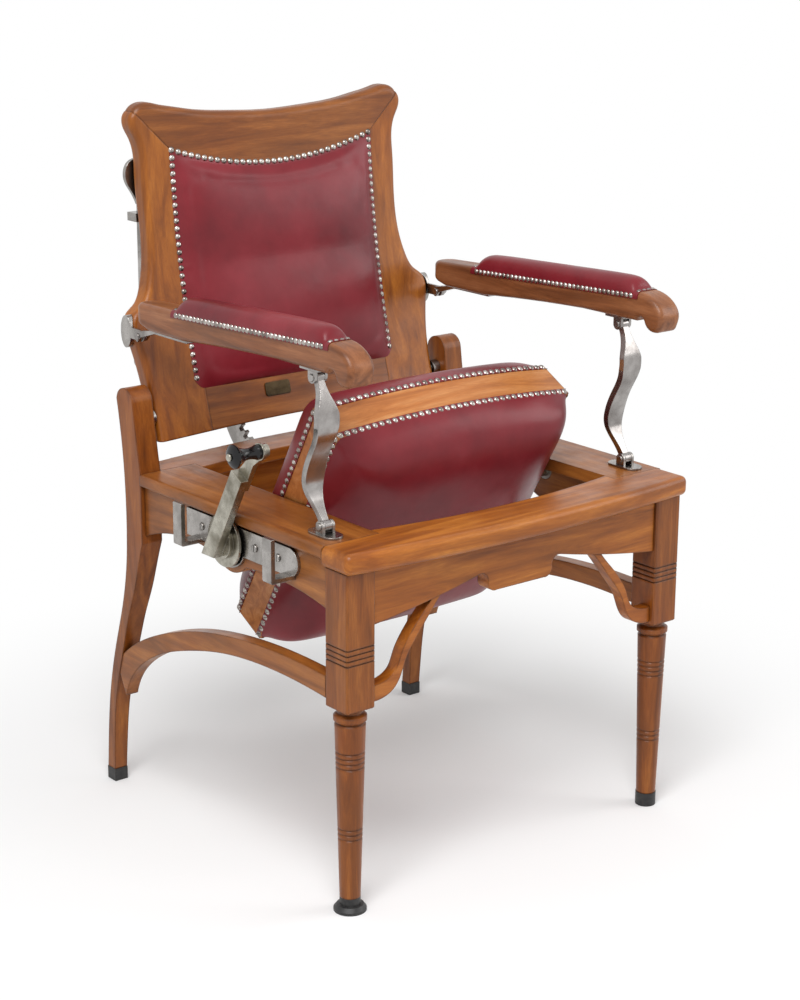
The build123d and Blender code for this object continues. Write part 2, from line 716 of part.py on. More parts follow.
knob_centre = lever_plane(0).from_local_coords(Vector(knob_forward, knob_out, 0))
knob_start = lever_inner + overrun / 2 + washer_thick + play
with BuildPart() as knob:
    with BuildSketch(Plane(knob_centre - Vector(knob_start, 0, 0), x_dir=(0, 1, 0), z_dir=(0, 0, 1))):
        with BuildLine():
            bore = knob_pin_radius + turning_play
            rim_low = knob_long - knob_disc_thick
            Polyline((bore, knob_long), (bore, 0), (knob_flange, 0), (knob_flange, knob_disc_thick / 2))
            ThreePointArc((knob_flange, knob_disc_thick / 2), (knob_waist, rim_low / 2), (knob_disc, rim_low))
            Line((knob_disc, rim_low), (knob_disc, rim_low + knob_disc_thick / 3))
            ThreePointArc((knob_disc, rim_low + knob_disc_thick / 3),
                          ((knob_disc + bore) / 2, knob_long - knob_disc_thick / 6), (bore, knob_long))
        make_face()
    revolve(axis=Axis(knob_centre, (1, 0, 0)))
save(knob.part, "lever_knob")

with BuildPart() as knob_pin:
    add(rod_between(-(lever_inner - tongue_thick), -(knob_start + knob_long + play), knob_centre.Y, knob_centre.Z,
                    knob_pin_radius))
    add(rod_between(-(lever_inner + overrun / 2), -(knob_start - play), knob_centre.Y, knob_centre.Z,
                    washer_radius))
    add(rod_between(-(knob_start + knob_long + play), -(knob_start + knob_long + play + pin_head_thick),
                    knob_centre.Y, knob_centre.Z, pin_head))
    chamfer(knob_pin.faces().sort_by(Axis.X)[0].edges(), pin_head_thick / 3)
save(knob_pin.part, "knob_pin")

# The reclining back: a curved frame, hollow towards the sitter
back_arc_ahead = 1536.6
back_arc_above = 465.3
back_arc_radius = 1595.3
back_thick = 30.0
back_inset = 34.0
back_below = 33.0  # the back's lower edge below its pivot
back_height = 463.0
stile_wide = 103.0
bottom_rail_high = 65.0
bottom_rise = 7.0
back_arc_y = back_pivot_y - back_arc_ahead
back_arc_z = back_pivot_z + back_arc_above
back_half = frame_half - back_inset
back_bottom = back_pivot_z - back_below
stile_inner = back_half - stile_wide
pad_bottom = back_bottom + bottom_rail_high
stile_shares = ((0.951, 0.0), (0.948, 0.082), (0.955, 0.175), (0.989, 0.296), (1.0, 0.35), (0.981, 0.378),
                (0.925, 0.404), (0.877, 0.454), (0.851, 0.51), (0.836, 0.67), (0.841, 0.7775), (0.847, 0.87),
                (0.866, 0.9), (0.894, 0.933), (0.897, 0.958), (0.876, 0.979))
crest_top_shares = ((0.876, 0.979), (0.84, 0.998), (0.795, 1.004), (0.70, 0.994), (0.616, 0.985),
                    (0.493, 0.972), (0.25, 0.959), (0.0, 0.953))
mitre_share = 0.832
opening_dip_share = 0.056  # how far the hollow top of the back's opening dips in its middle
crest_round = 10.0
stile_round = 8.0
back_panel_thick = 6.0


def back_piece(outline, front, rear):
    """A piece of the back, cut from its outline between two depths behind the curved face."""
    with BuildPart() as piece:
        extrude(outline, amount=-(back_pivot_y + back_half))
        with BuildSketch(side_plane(-back_half - overrun)):
            with Locations((back_arc_y, back_arc_z)):
                Circle(back_arc_radius + rear)
                Circle(back_arc_radius + front, mode=Mode.SUBTRACT)
        extrude(amount=2 * (back_half + overrun), mode=Mode.INTERSECT)
    return piece.part


def back_point(z, depth):
    """Place in y and z on the curved face at a height, moved to a depth behind it."""
    rise = (z - back_arc_z) / back_arc_radius
    radius = back_arc_radius + depth
    return (back_arc_y + radius * (1 - rise ** 2) ** 0.5, back_arc_z + rise * radius)


def edges_along(edges, outline):
    """The front and rear edges of a piece of the back that follow an outline."""
    low = min(z for x, z in outline)
    high = max(z for x, z in outline)
    return [edge for edge in edges if abs(edge.bounding_box().min.Z - low) < overrun
            and abs(edge.bounding_box().max.Z - high) < overrun]


back_size = (back_half, back_height)
mitre_height = back_bottom + mitre_share * back_height
opening_top = ((-stile_inner, mitre_height), (0, mitre_height - opening_dip_share * back_height),
               (stile_inner, mitre_height))
with BuildSketch(Plane.XZ) as stile_outline:
    with BuildLine():
        side_line = at_shares(stile_shares, (0, back_bottom), back_size)
        Spline(*side_line)
        Polyline(side_line[-1], (stile_inner, mitre_height), (stile_inner, back_bottom + bottom_rise / 2),
                 side_line[0])
    make_face()
stile_blank = back_piece(stile_outline.sketch, 0, back_thick)
with BuildPart() as back_stile:
    add(stile_blank)
    fillet(edges_along(back_stile.edges(), side_line), stile_round)
    with BuildSketch(side_plane(0)):
        with Locations((back_pivot_y, back_pivot_z)):
            Circle(pivot_pin_radius + turning_play)
    extrude(amount=back_half + overrun, mode=Mode.SUBTRACT)
save_pair(back_stile.part, "back_stile")

with BuildSketch(Plane.XZ) as crest_outline:
    with BuildLine():
        corners = at_shares(crest_top_shares, (0, back_bottom), back_size)
        Spline(*([(-x, z) for x, z in corners] + [(x, z) for x, z in corners[-2::-1]]))
        Line((-corners[0][0], corners[0][1]), opening_top[0])
        ThreePointArc(*opening_top)
        Line(opening_top[-1], corners[0])
    make_face()
with BuildPart() as crest_rail:
    add(back_piece(crest_outline.sketch, 0, back_thick))
    fillet(edges_along(crest_rail.edges(), corners), crest_round)
save(crest_rail.part, "crest_rail")

with BuildSketch(Plane.XZ) as bottom_outline:
    with BuildLine():
        ThreePointArc((-stile_inner, back_bottom + bottom_rise / 2), (0, back_bottom + bottom_rise),
                      (stile_inner, back_bottom + bottom_rise / 2))
        Polyline((stile_inner, back_bottom + bottom_rise / 2), (stile_inner, pad_bottom), (-stile_inner, pad_bottom),
                 (-stile_inner, back_bottom + bottom_rise / 2))
    make_face()
save(back_piece(bottom_outline.sketch, 0, back_thick), "back_bottom_rail")

with BuildSketch(Plane.XZ) as panel_outline:
    with BuildLine():
        ThreePointArc(*opening_top)
        Polyline(opening_top[-1], (stile_inner, pad_bottom), (-stile_inner, pad_bottom), opening_top[0])
    make_face()
save(back_piece(panel_outline.sketch, back_thick - back_panel_thick, back_thick), "back_panel")

# The back's leather cushion, with one sewn seam across it. Sections run from
# side to side, each with a lower and an upper swell.
pad_past = 6.0
pad_seam_rise = 233.0  # heights on the leather are counted from the back's lower edge
pad_side_rise = 390.0
pad_mid_rise = 363.0
pad_low_rise = 63.0
pad_crown = 25.0
pad_rim = 2.0
pad_sink = 3.0
pad_half = stile_inner + pad_past
pad_seam = back_bottom + pad_seam_rise
pad_side_top = back_bottom + pad_side_rise
pad_mid_top = back_bottom + pad_mid_rise
pad_low = back_bottom + pad_low_rise
pad_across_shares = (-1.0, -0.94, -0.8, -0.5, 0.0, 0.5, 0.8, 0.94, 1.0)
pad_crown_shares = (0.10, 0.45, 0.78, 0.96, 1.0, 0.96, 0.78, 0.45, 0.10)
pad_seam_share = 0.72


def pad_section(across, crown):
    """One side-to-side section of the cushion."""
    top = pad_mid_top + (pad_side_top - pad_mid_top) * across ** 2
    rise = crown * pad_crown
    with BuildSketch(side_plane(across * pad_half)) as section:
        with BuildLine():
            low_in, low_out = back_point(pad_low, pad_sink), back_point(pad_low, -pad_rim)
            seam = back_point(pad_seam, -max(pad_rim, pad_seam_share * rise))
            top_in, top_out = back_point(top, pad_sink), back_point(top, -pad_rim)
            Line(low_in, low_out)
            ThreePointArc(low_out, back_point((pad_low + pad_seam) / 2, -pad_rim - rise), seam)
            ThreePointArc(seam, back_point((pad_seam + top) / 2, -pad_rim - rise), top_out)
            Line(top_out, top_in)
            ThreePointArc(top_in, back_point(pad_seam, pad_sink), low_in)
        make_face()
    return section.sketch


pad_sections = [pad_section(across, crown) for across, crown in zip(pad_across_shares, pad_crown_shares)]
with BuildPart() as back_pad:
    loft(pad_sections)
    with BuildSketch(side_plane(-back_half)):
        with Locations((back_arc_y, back_arc_z)):
            Circle(back_arc_radius + back_thick)
            Circle(back_arc_radius, mode=Mode.SUBTRACT)
    extrude(amount=2 * back_half, mode=Mode.SUBTRACT)
    add(back_piece(panel_outline.sketch, 0, back_thick - back_panel_thick))
save(back_pad.part, "back_pad")

# Nails along the sides and the hollow top of the back's leather
back_nail_past = 11.0
back_nail_low_rise = 78.0
back_nail_side_rise = 397.0
back_nail_mid_rise = 368.0
back_nail_line = stile_inner + back_nail_past
back_nail_low = back_bottom + back_nail_low_rise
back_nail_side = back_bottom + back_nail_side_rise
back_nail_mid = back_bottom + back_nail_mid_rise
nail_lift = 0.03


def back_nail_planes():
    """Places of the back's nails on the curved face of the frame."""
    places = []
    side_count = round((back_nail_side - back_nail_low) / nail_pitch)
    top_count = round(2 * back_nail_line / nail_pitch)
    for turn in range(side_count):
        height = back_nail_low + turn * (back_nail_side - back_nail_low) / side_count
        places.extend([(-back_nail_line, height), (back_nail_line, height)])
    for turn in range(top_count + 1):
        across = back_nail_line * (2 * turn / top_count - 1)
        places.append((across, back_nail_mid + (back_nail_side - back_nail_mid) * (across / back_nail_line) ** 2))
    planes = []
    for across, height in places:
        y, z = back_point(height, -nail_lift)
        planes.append(Plane((across, y, z), z_dir=(0, back_arc_y - y, back_arc_z - z)))
    return planes


save(nails(back_nail_planes()), "back_nails")

# The bare oval-cornered plate screwed low on the back's bottom rail
badge_long = 44.0
badge_high = 20.0
badge_thick = 1.2
badge_x = -41.0
badge_rise = 46.0
badge_z = back_bottom + badge_rise
badge_y, badge_height = back_point(badge_z, -badge_thick / 3)
badge_plane = Plane((badge_x, badge_y, badge_height), x_dir=(1, 0, 0),
                    z_dir=(0, back_arc_y - badge_y, back_arc_z - badge_height))
with BuildPart() as badge:
    with BuildSketch(badge_plane):
        RectangleRounded(badge_long, badge_high, badge_high / 5)
    extrude(amount=badge_thick)
save(badge.part, "back_plate")

# Pins that the back turns on, driven into the rear legs, each with its spacer
spacer_radius = 12.0
pin_reach = 20.0
stile_face = stile_shares[1][0] * back_half
with BuildPart() as pivot_pin:
    add(rod_between(stile_face - pin_reach, rear_leg_inner + pivot_pin_depth, back_pivot_y, back_pivot_z,
                    pivot_pin_radius))
    add(rod_between(stile_face + 2 * play, rear_leg_inner, back_pivot_y, back_pivot_z, spacer_radius))
save_both(pivot_pin.part, "back_pivot_pins")

# Arms: sawn wood rolled under in front, on a hinge to the back and a post in front
arm_wide = 40.0
arm_ahead = 498.0  # from the back's pivot forward to the end of the roll
arm_long = 490.0
arm_rise = 132.0  # from the back's pivot up to the arm's lowest level
arm_high = 66.0
arm_round = 7.0
arm_under_shares = ((1.0, 0.182), (0.9286, 0.045))
arm_belly_shares = ((0.7576, 0.045), (0.549, 0.17), (0.322, 0.2576))
arm_notch_shares = ((0.102, 0.2576), (0.0837, 0.3485), (0.0694, 0.2727))
arm_roll_shares = ((0.0694, 0.2727), (0.0571, 0.1439), (0.0327, 0.0833))
arm_front_shares = ((0.0327, 0.0833), (0.0082, 0.1894), (0.0, 0.4242), (0.0163, 0.6591), (0.0531, 0.8258),
                    (0.1022, 0.8803))
arm_top_share = 0.583
arm_hinge_ahead = 4.0
arm_hinge_rise = 120.0
post_top_y = -157.0
post_top_rise = 4.0
iron_pin = 2.9
knuckle_radius = 7.6
arm_size = (arm_long, arm_high)
arm_origin = (back_pivot_y - arm_ahead, back_pivot_z + arm_rise)
arm_hinge_y = back_pivot_y - arm_hinge_ahead
arm_hinge_z = back_pivot_z + arm_hinge_rise
post_top_z = arm_origin[1] + post_top_rise
arm_belly = at_shares(arm_belly_shares, arm_origin, arm_size)
arm_under = at_shares(arm_under_shares, arm_origin, arm_size)
arm_notch = at_shares(arm_notch_shares, arm_origin, arm_size)
arm_front = at_shares(arm_front_shares, arm_origin, arm_size)
arm_rear_top = (arm_under[0][0], arm_origin[1] + arm_top_share * arm_high)
arm_slope = (arm_rear_top[1] - arm_front[-1][1]) / (arm_rear_top[0] - arm_front[-1][0])

with BuildPart() as arm:
    with BuildSketch(side_plane(arm_x - arm_wide / 2)):
        with BuildLine():
            Spline(*arm_front[::-1], tangents=((-1, -arm_slope), (1, 0)))
            ThreePointArc(*at_shares(arm_roll_shares, arm_origin, arm_size))
            ThreePointArc(*arm_notch)
            Line(arm_notch[0], arm_belly[-1])
            ThreePointArc(*arm_belly)
            Polyline(arm_front[-1], arm_rear_top, arm_under[0], arm_under[1], arm_belly[0])
        make_face()
    extrude(amount=arm_wide)
    with BuildSketch(Plane.XY.offset(arm_origin[1])):
        with Locations((arm_x, arm_rear_top[0] - (arm_long + arm_wide) / 2)):
            Rectangle(arm_wide, arm_long)
        with Locations((arm_x, arm_rear_top[0] - arm_wide / 2)):
            Circle(arm_wide / 2)
    extrude(amount=arm_high, mode=Mode.INTERSECT)
    fillet(arm.faces().sort_by(Axis.X)[0].edges() + arm.faces().sort_by(Axis.X)[-1].edges(), arm_round)
save_pair(arm.part, "arm")

# Arm pads: crowned leather loaves, drawn down over the arms' sides to the nails
arm_pad_front = -196.0
arm_pad_long = 332.0
arm_pad_thick = 20.0
arm_pad_wrap = 0.9
pad_skirt_shares = ((1.0, -0.5), (1.0, -0.1))
pad_shoulder_shares = ((1.0, -0.1), (0.905, 0.45), (0.6, 0.84))
pad_crown_shares = ((0.6, 0.84), (0.0, 1.0), (-0.6, 0.84))
pad_end_shares = ((0.0, 0.15), (0.2, 0.65), (0.65, 0.92))
pad_half = arm_wide / 2 + arm_pad_wrap


def arm_top(y):
    """Height of the arm's flat upper side at a place along it."""
    return arm_front[-1][1] + arm_slope * (y - arm_front[-1][0])


arm_pad_start = (arm_x, arm_pad_front, arm_top(arm_pad_front))
with BuildPart() as arm_pad:
    with BuildSketch(Plane(arm_pad_start, x_dir=(-1, 0, 0), z_dir=(0, 1, arm_slope))):
        with BuildLine():
            for side in (-1, 1):
                size = (side * pad_half, arm_pad_thick)
                Line(*at_shares(pad_skirt_shares, (0, 0), size))
                ThreePointArc(*at_shares(pad_shoulder_shares, (0, 0), size))
            ThreePointArc(*at_shares(pad_crown_shares, (0, 0), (pad_half, arm_pad_thick)))
            low = pad_skirt_shares[0][1] * arm_pad_thick
            Line((-pad_half, low), (pad_half, low))
        make_face()
    extrude(amount=arm_pad_long)
    with BuildSketch(Plane(arm_pad_start, x_dir=(0, 1, arm_slope), z_dir=(1, 0, 0))):
        with BuildLine():
            near = at_shares(pad_end_shares, (0, 0), (arm_pad_thick, arm_pad_thick))
            far = at_shares(pad_end_shares, (arm_pad_long, 0), (-arm_pad_thick, arm_pad_thick))
            ThreePointArc(*near)
            ThreePointArc(near[-1], (arm_pad_long / 2, arm_pad_thick), far[-1])
            ThreePointArc(*far)
            Polyline(near[0], (0, low), (arm_pad_long, low), far[0])
        make_face()
    extrude(amount=arm_wide, both=True, mode=Mode.INTERSECT)
    add(arm.part, mode=Mode.SUBTRACT)
save_pair(arm_pad.part.solids().sort_by(SortBy.VOLUME)[-1], "arm_pad")

arm_nail_drop = 6.0
arm_nail_share = 0.8
arm_nail_past = 4.5
arm_end_nails = 4
arm_nail_pitch = nail_pitch * arm_nail_share
with BuildPart() as arm_nail:
    add(nail.part.scale(arm_nail_share))
arm_nail_count = round(arm_pad_long / arm_nail_pitch)
arm_nail_planes = []
for turn in range(arm_nail_count):
    y = arm_pad_front + (turn + 0.5) * arm_pad_long / arm_nail_count
    for side in (-1, 1):
        arm_nail_planes.append(Plane((arm_x + side * pad_half, y, arm_top(y) - arm_nail_drop), z_dir=(side, 0, 0)))
for y in (arm_pad_front - arm_nail_past, arm_pad_front + arm_pad_long + arm_nail_past):
    for turn in range(arm_end_nails):
        across = (turn - (arm_end_nails - 1) / 2) * arm_nail_pitch
        arm_nail_planes.append(Plane((arm_x + across, y, arm_top(y)), z_dir=(0, -arm_slope, 1)))
save_pair(Compound([arm_nail.part.solids()[0].moved(Location(plane)) for plane in arm_nail_planes]), "arm_nails")

# Pins through the iron joints, with a low round head on each end
rivet_head = 5.0
rivet_head_thick = 2.0


def rivet(x0, x1, y, z):
    """A pin along x whose heads lie outside x0 and x1."""
    with BuildPart() as pin:
        add(rod_between(x0, x1, y, z, iron_pin))
        add(rod_between(x0 - rivet_head_thick, x0, y, z, rivet_head))
        add(rod_between(x1, x1 + rivet_head_thick, y, z, rivet_head))
        chamfer([pin.faces().sort_by(Axis.X)[end].outer_wire().edges()[0] for end in (0, -1)],
                rivet_head_thick / 3)
    return pin.part


# Hinge irons between the arms and the back
lug_thick = 4.0
lug_x = back_half + play / 2
leaf_half = 8.0
leaf_thick = 4.0
bracket_half_high = 23.0
iron_gap = 0.4
bracket_rear = back_point(arm_hinge_z, back_thick)[0] - leaf_thick / 2
with BuildPart() as hinge_bracket:
    with BuildSketch(side_plane(lug_x - 2 * lug_thick)):
        face_y = back_point(arm_hinge_z, leaf_thick / 2)[0]
        leaf_middle = (face_y + bracket_rear) / 2
        with Locations((arm_hinge_y, arm_hinge_z)):
            Circle(knuckle_radius)
        with Locations(((arm_hinge_y + leaf_middle) / 2, arm_hinge_z)):
            Rectangle(leaf_middle - arm_hinge_y, 2 * knuckle_radius)
        with Locations((leaf_middle, arm_hinge_z)):
            Ellipse(bracket_rear - leaf_middle, bracket_half_high)
    extrude(amount=3 * lug_thick)
    with BuildSketch(side_plane(lug_x - 2 * lug_thick)):
        with Locations((arm_hinge_y, arm_hinge_z)):
            Rectangle(2 * (face_y - arm_hinge_y), 2 * bracket_half_high)
    extrude(amount=2 * lug_thick, mode=Mode.SUBTRACT)
    add(stile_blank, mode=Mode.SUBTRACT)
    with BuildSketch(side_plane(lug_x - overrun)):
        with Locations((arm_hinge_y, arm_hinge_z)):
            Circle(iron_pin + turning_play)
    extrude(amount=lug_thick + 2 * overrun, mode=Mode.SUBTRACT)
save_both(hinge_bracket.part.solids().sort_by(Axis.X)[-1], "arm_hinge_brackets")

leaf_x = lug_x + lug_thick / 2
leaf_front = arm_belly[0][0]
leaf_top = arm_belly[0][1]
with BuildPart() as arm_leaf:
    with BuildSketch(side_plane(leaf_x - leaf_half)):
        with BuildLine():
            Polyline((arm_hinge_y, arm_hinge_z - knuckle_radius), (arm_hinge_y - knuckle_radius, arm_hinge_z),
                     (arm_under[1][0] - leaf_thick, leaf_top - leaf_thick), (leaf_front, leaf_top - leaf_thick),
                     (leaf_front, leaf_top), (arm_under[1][0], leaf_top),
                     (arm_hinge_y, arm_hinge_z + knuckle_radius))
            ThreePointArc((arm_hinge_y, arm_hinge_z + knuckle_radius), (arm_hinge_y + knuckle_radius, arm_hinge_z),
                          (arm_hinge_y, arm_hinge_z - knuckle_radius))
        make_face()
    extrude(amount=2 * leaf_half)
    with BuildSketch(side_plane(lug_x - iron_gap)):
        with Locations((arm_hinge_y + knuckle_radius, arm_hinge_z)):
            Rectangle(4 * knuckle_radius + 2 * iron_gap, 4 * knuckle_radius)
    extrude(amount=lug_thick + 2 * iron_gap, mode=Mode.SUBTRACT)
    add(rivet(leaf_x - leaf_half, leaf_x + leaf_half, arm_hinge_y, arm_hinge_z))

bracket_half = 14.0
eye_half = 5.6
bracket_plate = 3.0
fork_half = eye_half + iron_gap + lug_thick
arm_under_front = arm_belly[-1][1]
with BuildPart() as post_bracket:
    with BuildSketch(Plane.XY.offset(arm_under_front - bracket_plate)):
        with Locations((arm_x, post_top_y + bracket_plate)):
            RectangleRounded(2 * bracket_half, 4 * knuckle_radius + 2 * rivet_head, rivet_head)
    extrude(amount=bracket_plate)
    for side in (-1, 1):
        with BuildSketch(side_plane(arm_x + side * (eye_half + iron_gap))):
            with Locations((post_top_y, post_top_z)):
                Circle(knuckle_radius)
            with Locations((post_top_y, (post_top_z + arm_under_front - bracket_plate) / 2)):
                Rectangle(2 * knuckle_radius, arm_under_front - bracket_plate - post_top_z)
        extrude(amount=side * lug_thick)
    add(rivet(arm_x - fork_half, arm_x + fork_half, post_top_y, post_top_z))
arm_irons = Compound([arm_leaf.part.solids()[0], post_bracket.part.solids()[0]])
save_pair(arm_irons, "arm_irons")

# Posts: flat iron ribbons bent in an S, with an eye at each end
post_foot_y = -172.0
post_foot_rise = 12.0
post_thick = 9.0
post_half_wide = 17.0
open_play = 1.8  # slack in the upper eye, where the four-bar linkage is opened
post_sweep = 24.0
post_line_shares = ((0.0, 0.0), (0.55, 0.11), (0.95, 0.225), (0.75, 0.36), (0.20, 0.50), (-0.45, 0.64),
                    (-0.62, 0.76), (-0.35, 0.90), (0.0, 1.0))
post_width_shares = ((0.0, 0.33), (0.09, 0.34), (0.24, 0.78), (0.42, 0.86), (0.58, 0.84), (0.76, 1.0),
                     (0.90, 0.42), (1.0, 0.33))
post_foot_z = seat_top + post_foot_rise


def post_line():
    """Middle line of a post in y and z, from its foot to its top."""
    rise = post_top_z - post_foot_z
    run = post_top_y - post_foot_y
    return [(post_foot_y + run * up + post_sweep * bend, post_foot_z + rise * up)
            for bend, up in post_line_shares]


def beside(points, distance):
    """The same line, moved to one side of itself."""
    moved = []
    for index, (y, z) in enumerate(points):
        before = points[max(index - 1, 0)]
        after = points[min(index + 1, len(points) - 1)]
        dy, dz = after[0] - before[0], after[1] - before[1]
        moved.append((y - distance * dz / hypot(dy, dz), z + distance * dy / hypot(dy, dz)))
    return moved


with BuildPart() as post:
    front_side = beside(post_line(), post_thick / 2)
    rear_side = beside(post_line(), -post_thick / 2)
    with BuildSketch(side_plane(arm_x - post_half_wide)):
        with BuildLine():
            Spline(*front_side)
            Line(front_side[-1], rear_side[-1])
            Spline(*rear_side)
            Line(rear_side[0], front_side[0])
        make_face()
    extrude(amount=2 * post_half_wide)
    with BuildSketch(Plane.XZ.offset(-post_foot_y - 2 * post_half_wide)):
        with BuildLine():
            rise = post_top_z - post_foot_z
            for side in (-1, 1):
                Spline(*[(arm_x + side * post_half_wide * wide, post_foot_z + rise * up)
                         for up, wide in post_width_shares])
            for up, wide in (post_width_shares[0], post_width_shares[-1]):
                Line((arm_x - post_half_wide * wide, post_foot_z + rise * up),
                     (arm_x + post_half_wide * wide, post_foot_z + rise * up))
        make_face()
    extrude(amount=4 * post_half_wide, both=True, mode=Mode.INTERSECT)
    for eye_y, eye_z in ((post_foot_y, post_foot_z), (post_top_y, post_top_z)):
        add(rod_between(arm_x - eye_half, arm_x + eye_half, eye_y, eye_z, knuckle_radius))
    for eye_y, eye_z, hole in ((post_foot_y, post_foot_z, iron_pin + turning_play),
                               (post_top_y, post_top_z, iron_pin + open_play)):
        with BuildSketch(side_plane(arm_x - 2 * eye_half)):
            with Locations((eye_y, eye_z)):
                Circle(hole)
        extrude(amount=4 * eye_half, mode=Mode.SUBTRACT)
save_pair(post.part, "arm_post")

foot_long = 56.0
with BuildPart() as post_foot:
    with BuildSketch(Plane.XY.offset(seat_top)):
        with Locations((arm_x, post_foot_y)):
            SlotOverall(foot_long, 2 * bracket_half, rotation=90)
    extrude(amount=bracket_plate)
    for side in (-1, 1):
        with BuildSketch(side_plane(arm_x + side * (eye_half + iron_gap))):
            with Locations((post_foot_y, post_foot_z)):
                Circle(knuckle_radius)
            with Locations((post_foot_y, (post_foot_z + seat_top + bracket_plate) / 2)):
                Rectangle(2 * knuckle_radius, post_foot_z - seat_top - bracket_plate)
        extrude(amount=side * lug_thick)
    add(rivet(arm_x - fork_half, arm_x + fork_half, post_foot_y, post_foot_z))
save_both(post_foot.part, "post_feet")

# Toothed quadrant on the rear rail, round the back's pivot, with hooked gullets
tooth_angle = back_range / 4
quadrant_x = -52.0
quadrant_half = 4.0
quadrant_inner = 86.0
quadrant_outer = 124.0
quadrant_low = -62.0
quadrant_high = 4.0
gullet_count = 7
gullet_depth = 8.6
gullet_mouth_low = 3.8
gullet_mouth_high = 6.6
gullet_root_low = 0.9
gullet_root_high = 6.9
quadrant_foot_drop = 68.0
quadrant_foot_long = 44.0
quadrant_foot_out = 45.0
quadrant_foot_low = seat_top - quadrant_foot_drop
quadrant_foot_high = quadrant_foot_low + quadrant_foot_long
quadrant_foot_rear = rear_rail_y + rear_rail_thick + quadrant_foot_out


def about_pivot(radius, angle, along=0):
    """A point in y and z round the back's pivot, moved along the arc's tangent."""
    turn = radians(angle)
    return (back_pivot_y + radius * cos(turn) - along * sin(turn),
            back_pivot_z + radius * sin(turn) + along * cos(turn))


with BuildPart() as quadrant:
    with BuildSketch(side_plane(quadrant_x - quadrant_half)):
        with BuildLine():
            middle = (quadrant_low + quadrant_high) / 2
            ThreePointArc(about_pivot(quadrant_inner, quadrant_low), about_pivot(quadrant_inner, middle),
                          about_pivot(quadrant_inner, quadrant_high))
            Line(about_pivot(quadrant_inner, quadrant_high), about_pivot(quadrant_outer, quadrant_high))
            ThreePointArc(about_pivot(quadrant_outer, quadrant_high), about_pivot(quadrant_outer, middle),
                          about_pivot(quadrant_outer, quadrant_low))
            Polyline(about_pivot(quadrant_outer, quadrant_low),
                     (rear_rail_y + rear_rail_thick, quadrant_foot_low),
                     (rear_rail_y + rear_rail_thick, quadrant_foot_high),
                     (quadrant_foot_rear, quadrant_foot_high),
                     about_pivot(quadrant_inner, quadrant_low))
        make_face()
        for turn in range(gullet_count):
            with BuildLine():
                angle = -turn * tooth_angle
                Polyline(about_pivot(quadrant_inner - overrun, angle, -gullet_mouth_low),
                         about_pivot(quadrant_inner + gullet_depth, angle, gullet_root_low),
                         about_pivot(quadrant_inner + gullet_depth, angle, gullet_root_high),
                         about_pivot(quadrant_inner - overrun, angle, gullet_mouth_high), close=True)
            make_face(mode=Mode.SUBTRACT)
    extrude(amount=2 * quadrant_half)
save(quadrant.part, "ratchet_quadrant")

# Pawl, fast on a cross shaft behind the back, with the crank that turns it
pawl_behind = 56.0
pawl_rise = 60.0
pawl_shaft_radius = 5.0
pawl_hub = 9.0
crank_reach = 33.0
crank_inset = 58.0
crank_half = 3.0
crank_gap = 2.0
eye_thick = 8.0
pawl_end = -25.0
beak_half = 2.0
beak_base_up = 3.5
beak_base_down = 4.5
beak_long = 8.4
pawl_arm_half = 7.0
pawl_gap = 0.6
pawl_y = back_pivot_y + pawl_behind
pawl_z = back_pivot_z + pawl_rise
crank_x = crank_inset - back_half
tip_y, tip_z = back_pivot_y + quadrant_inner - pawl_gap, back_pivot_z

with BuildPart() as pawl:
    add(rod_between(crank_x - eye_thick - crank_gap - 2 * crank_half, pawl_end, pawl_y, pawl_z, pawl_shaft_radius))
    add(rod_between(quadrant_x - quadrant_half, quadrant_x + quadrant_half, pawl_y, pawl_z, pawl_hub))
    with BuildSketch(side_plane(quadrant_x - quadrant_half)):
        Polygon((tip_y, tip_z + beak_half), (tip_y, tip_z - beak_half), (tip_y - beak_long, tip_z - beak_base_down),
                (tip_y - beak_long - 2 * pawl_arm_half, tip_z), (pawl_y - pawl_hub, pawl_z),
                (pawl_y + pawl_hub * cos(radians(seat_tilt)), pawl_z - pawl_hub * sin(radians(seat_tilt))),
                (tip_y - beak_long, tip_z + beak_base_up), align=None)
    extrude(amount=2 * quadrant_half)
    crank_face = crank_x - eye_thick / 2 - crank_gap
    with BuildSketch(side_plane(crank_face - 2 * crank_half)):
        with Locations((pawl_y + crank_reach / 2, pawl_z)):
            SlotOverall(crank_reach + 2 * pawl_arm_half, 2 * pawl_arm_half)
    extrude(amount=2 * crank_half)
    add(rod_between(crank_face, crank_x + eye_thick / 2 + crank_gap, pawl_y + crank_reach, pawl_z, iron_pin))
save(pawl.part, "pawl_shaft")

# Release rod down the back of the right stile, with the spoon handle at its top
rod_radius = 4.5
rod_y = pawl_y + crank_reach
rod_eye = 8.0
rod_eye_play = 0.6
spoon_rise = 320.0  # from the back's lower edge up to the handle
spoon_long = 66.0
spoon_half = 24.0
spoon_thick = 6.0
spoon_belly_share = 0.58
spoon_low = back_bottom + spoon_rise
spoon_high = spoon_low + spoon_long

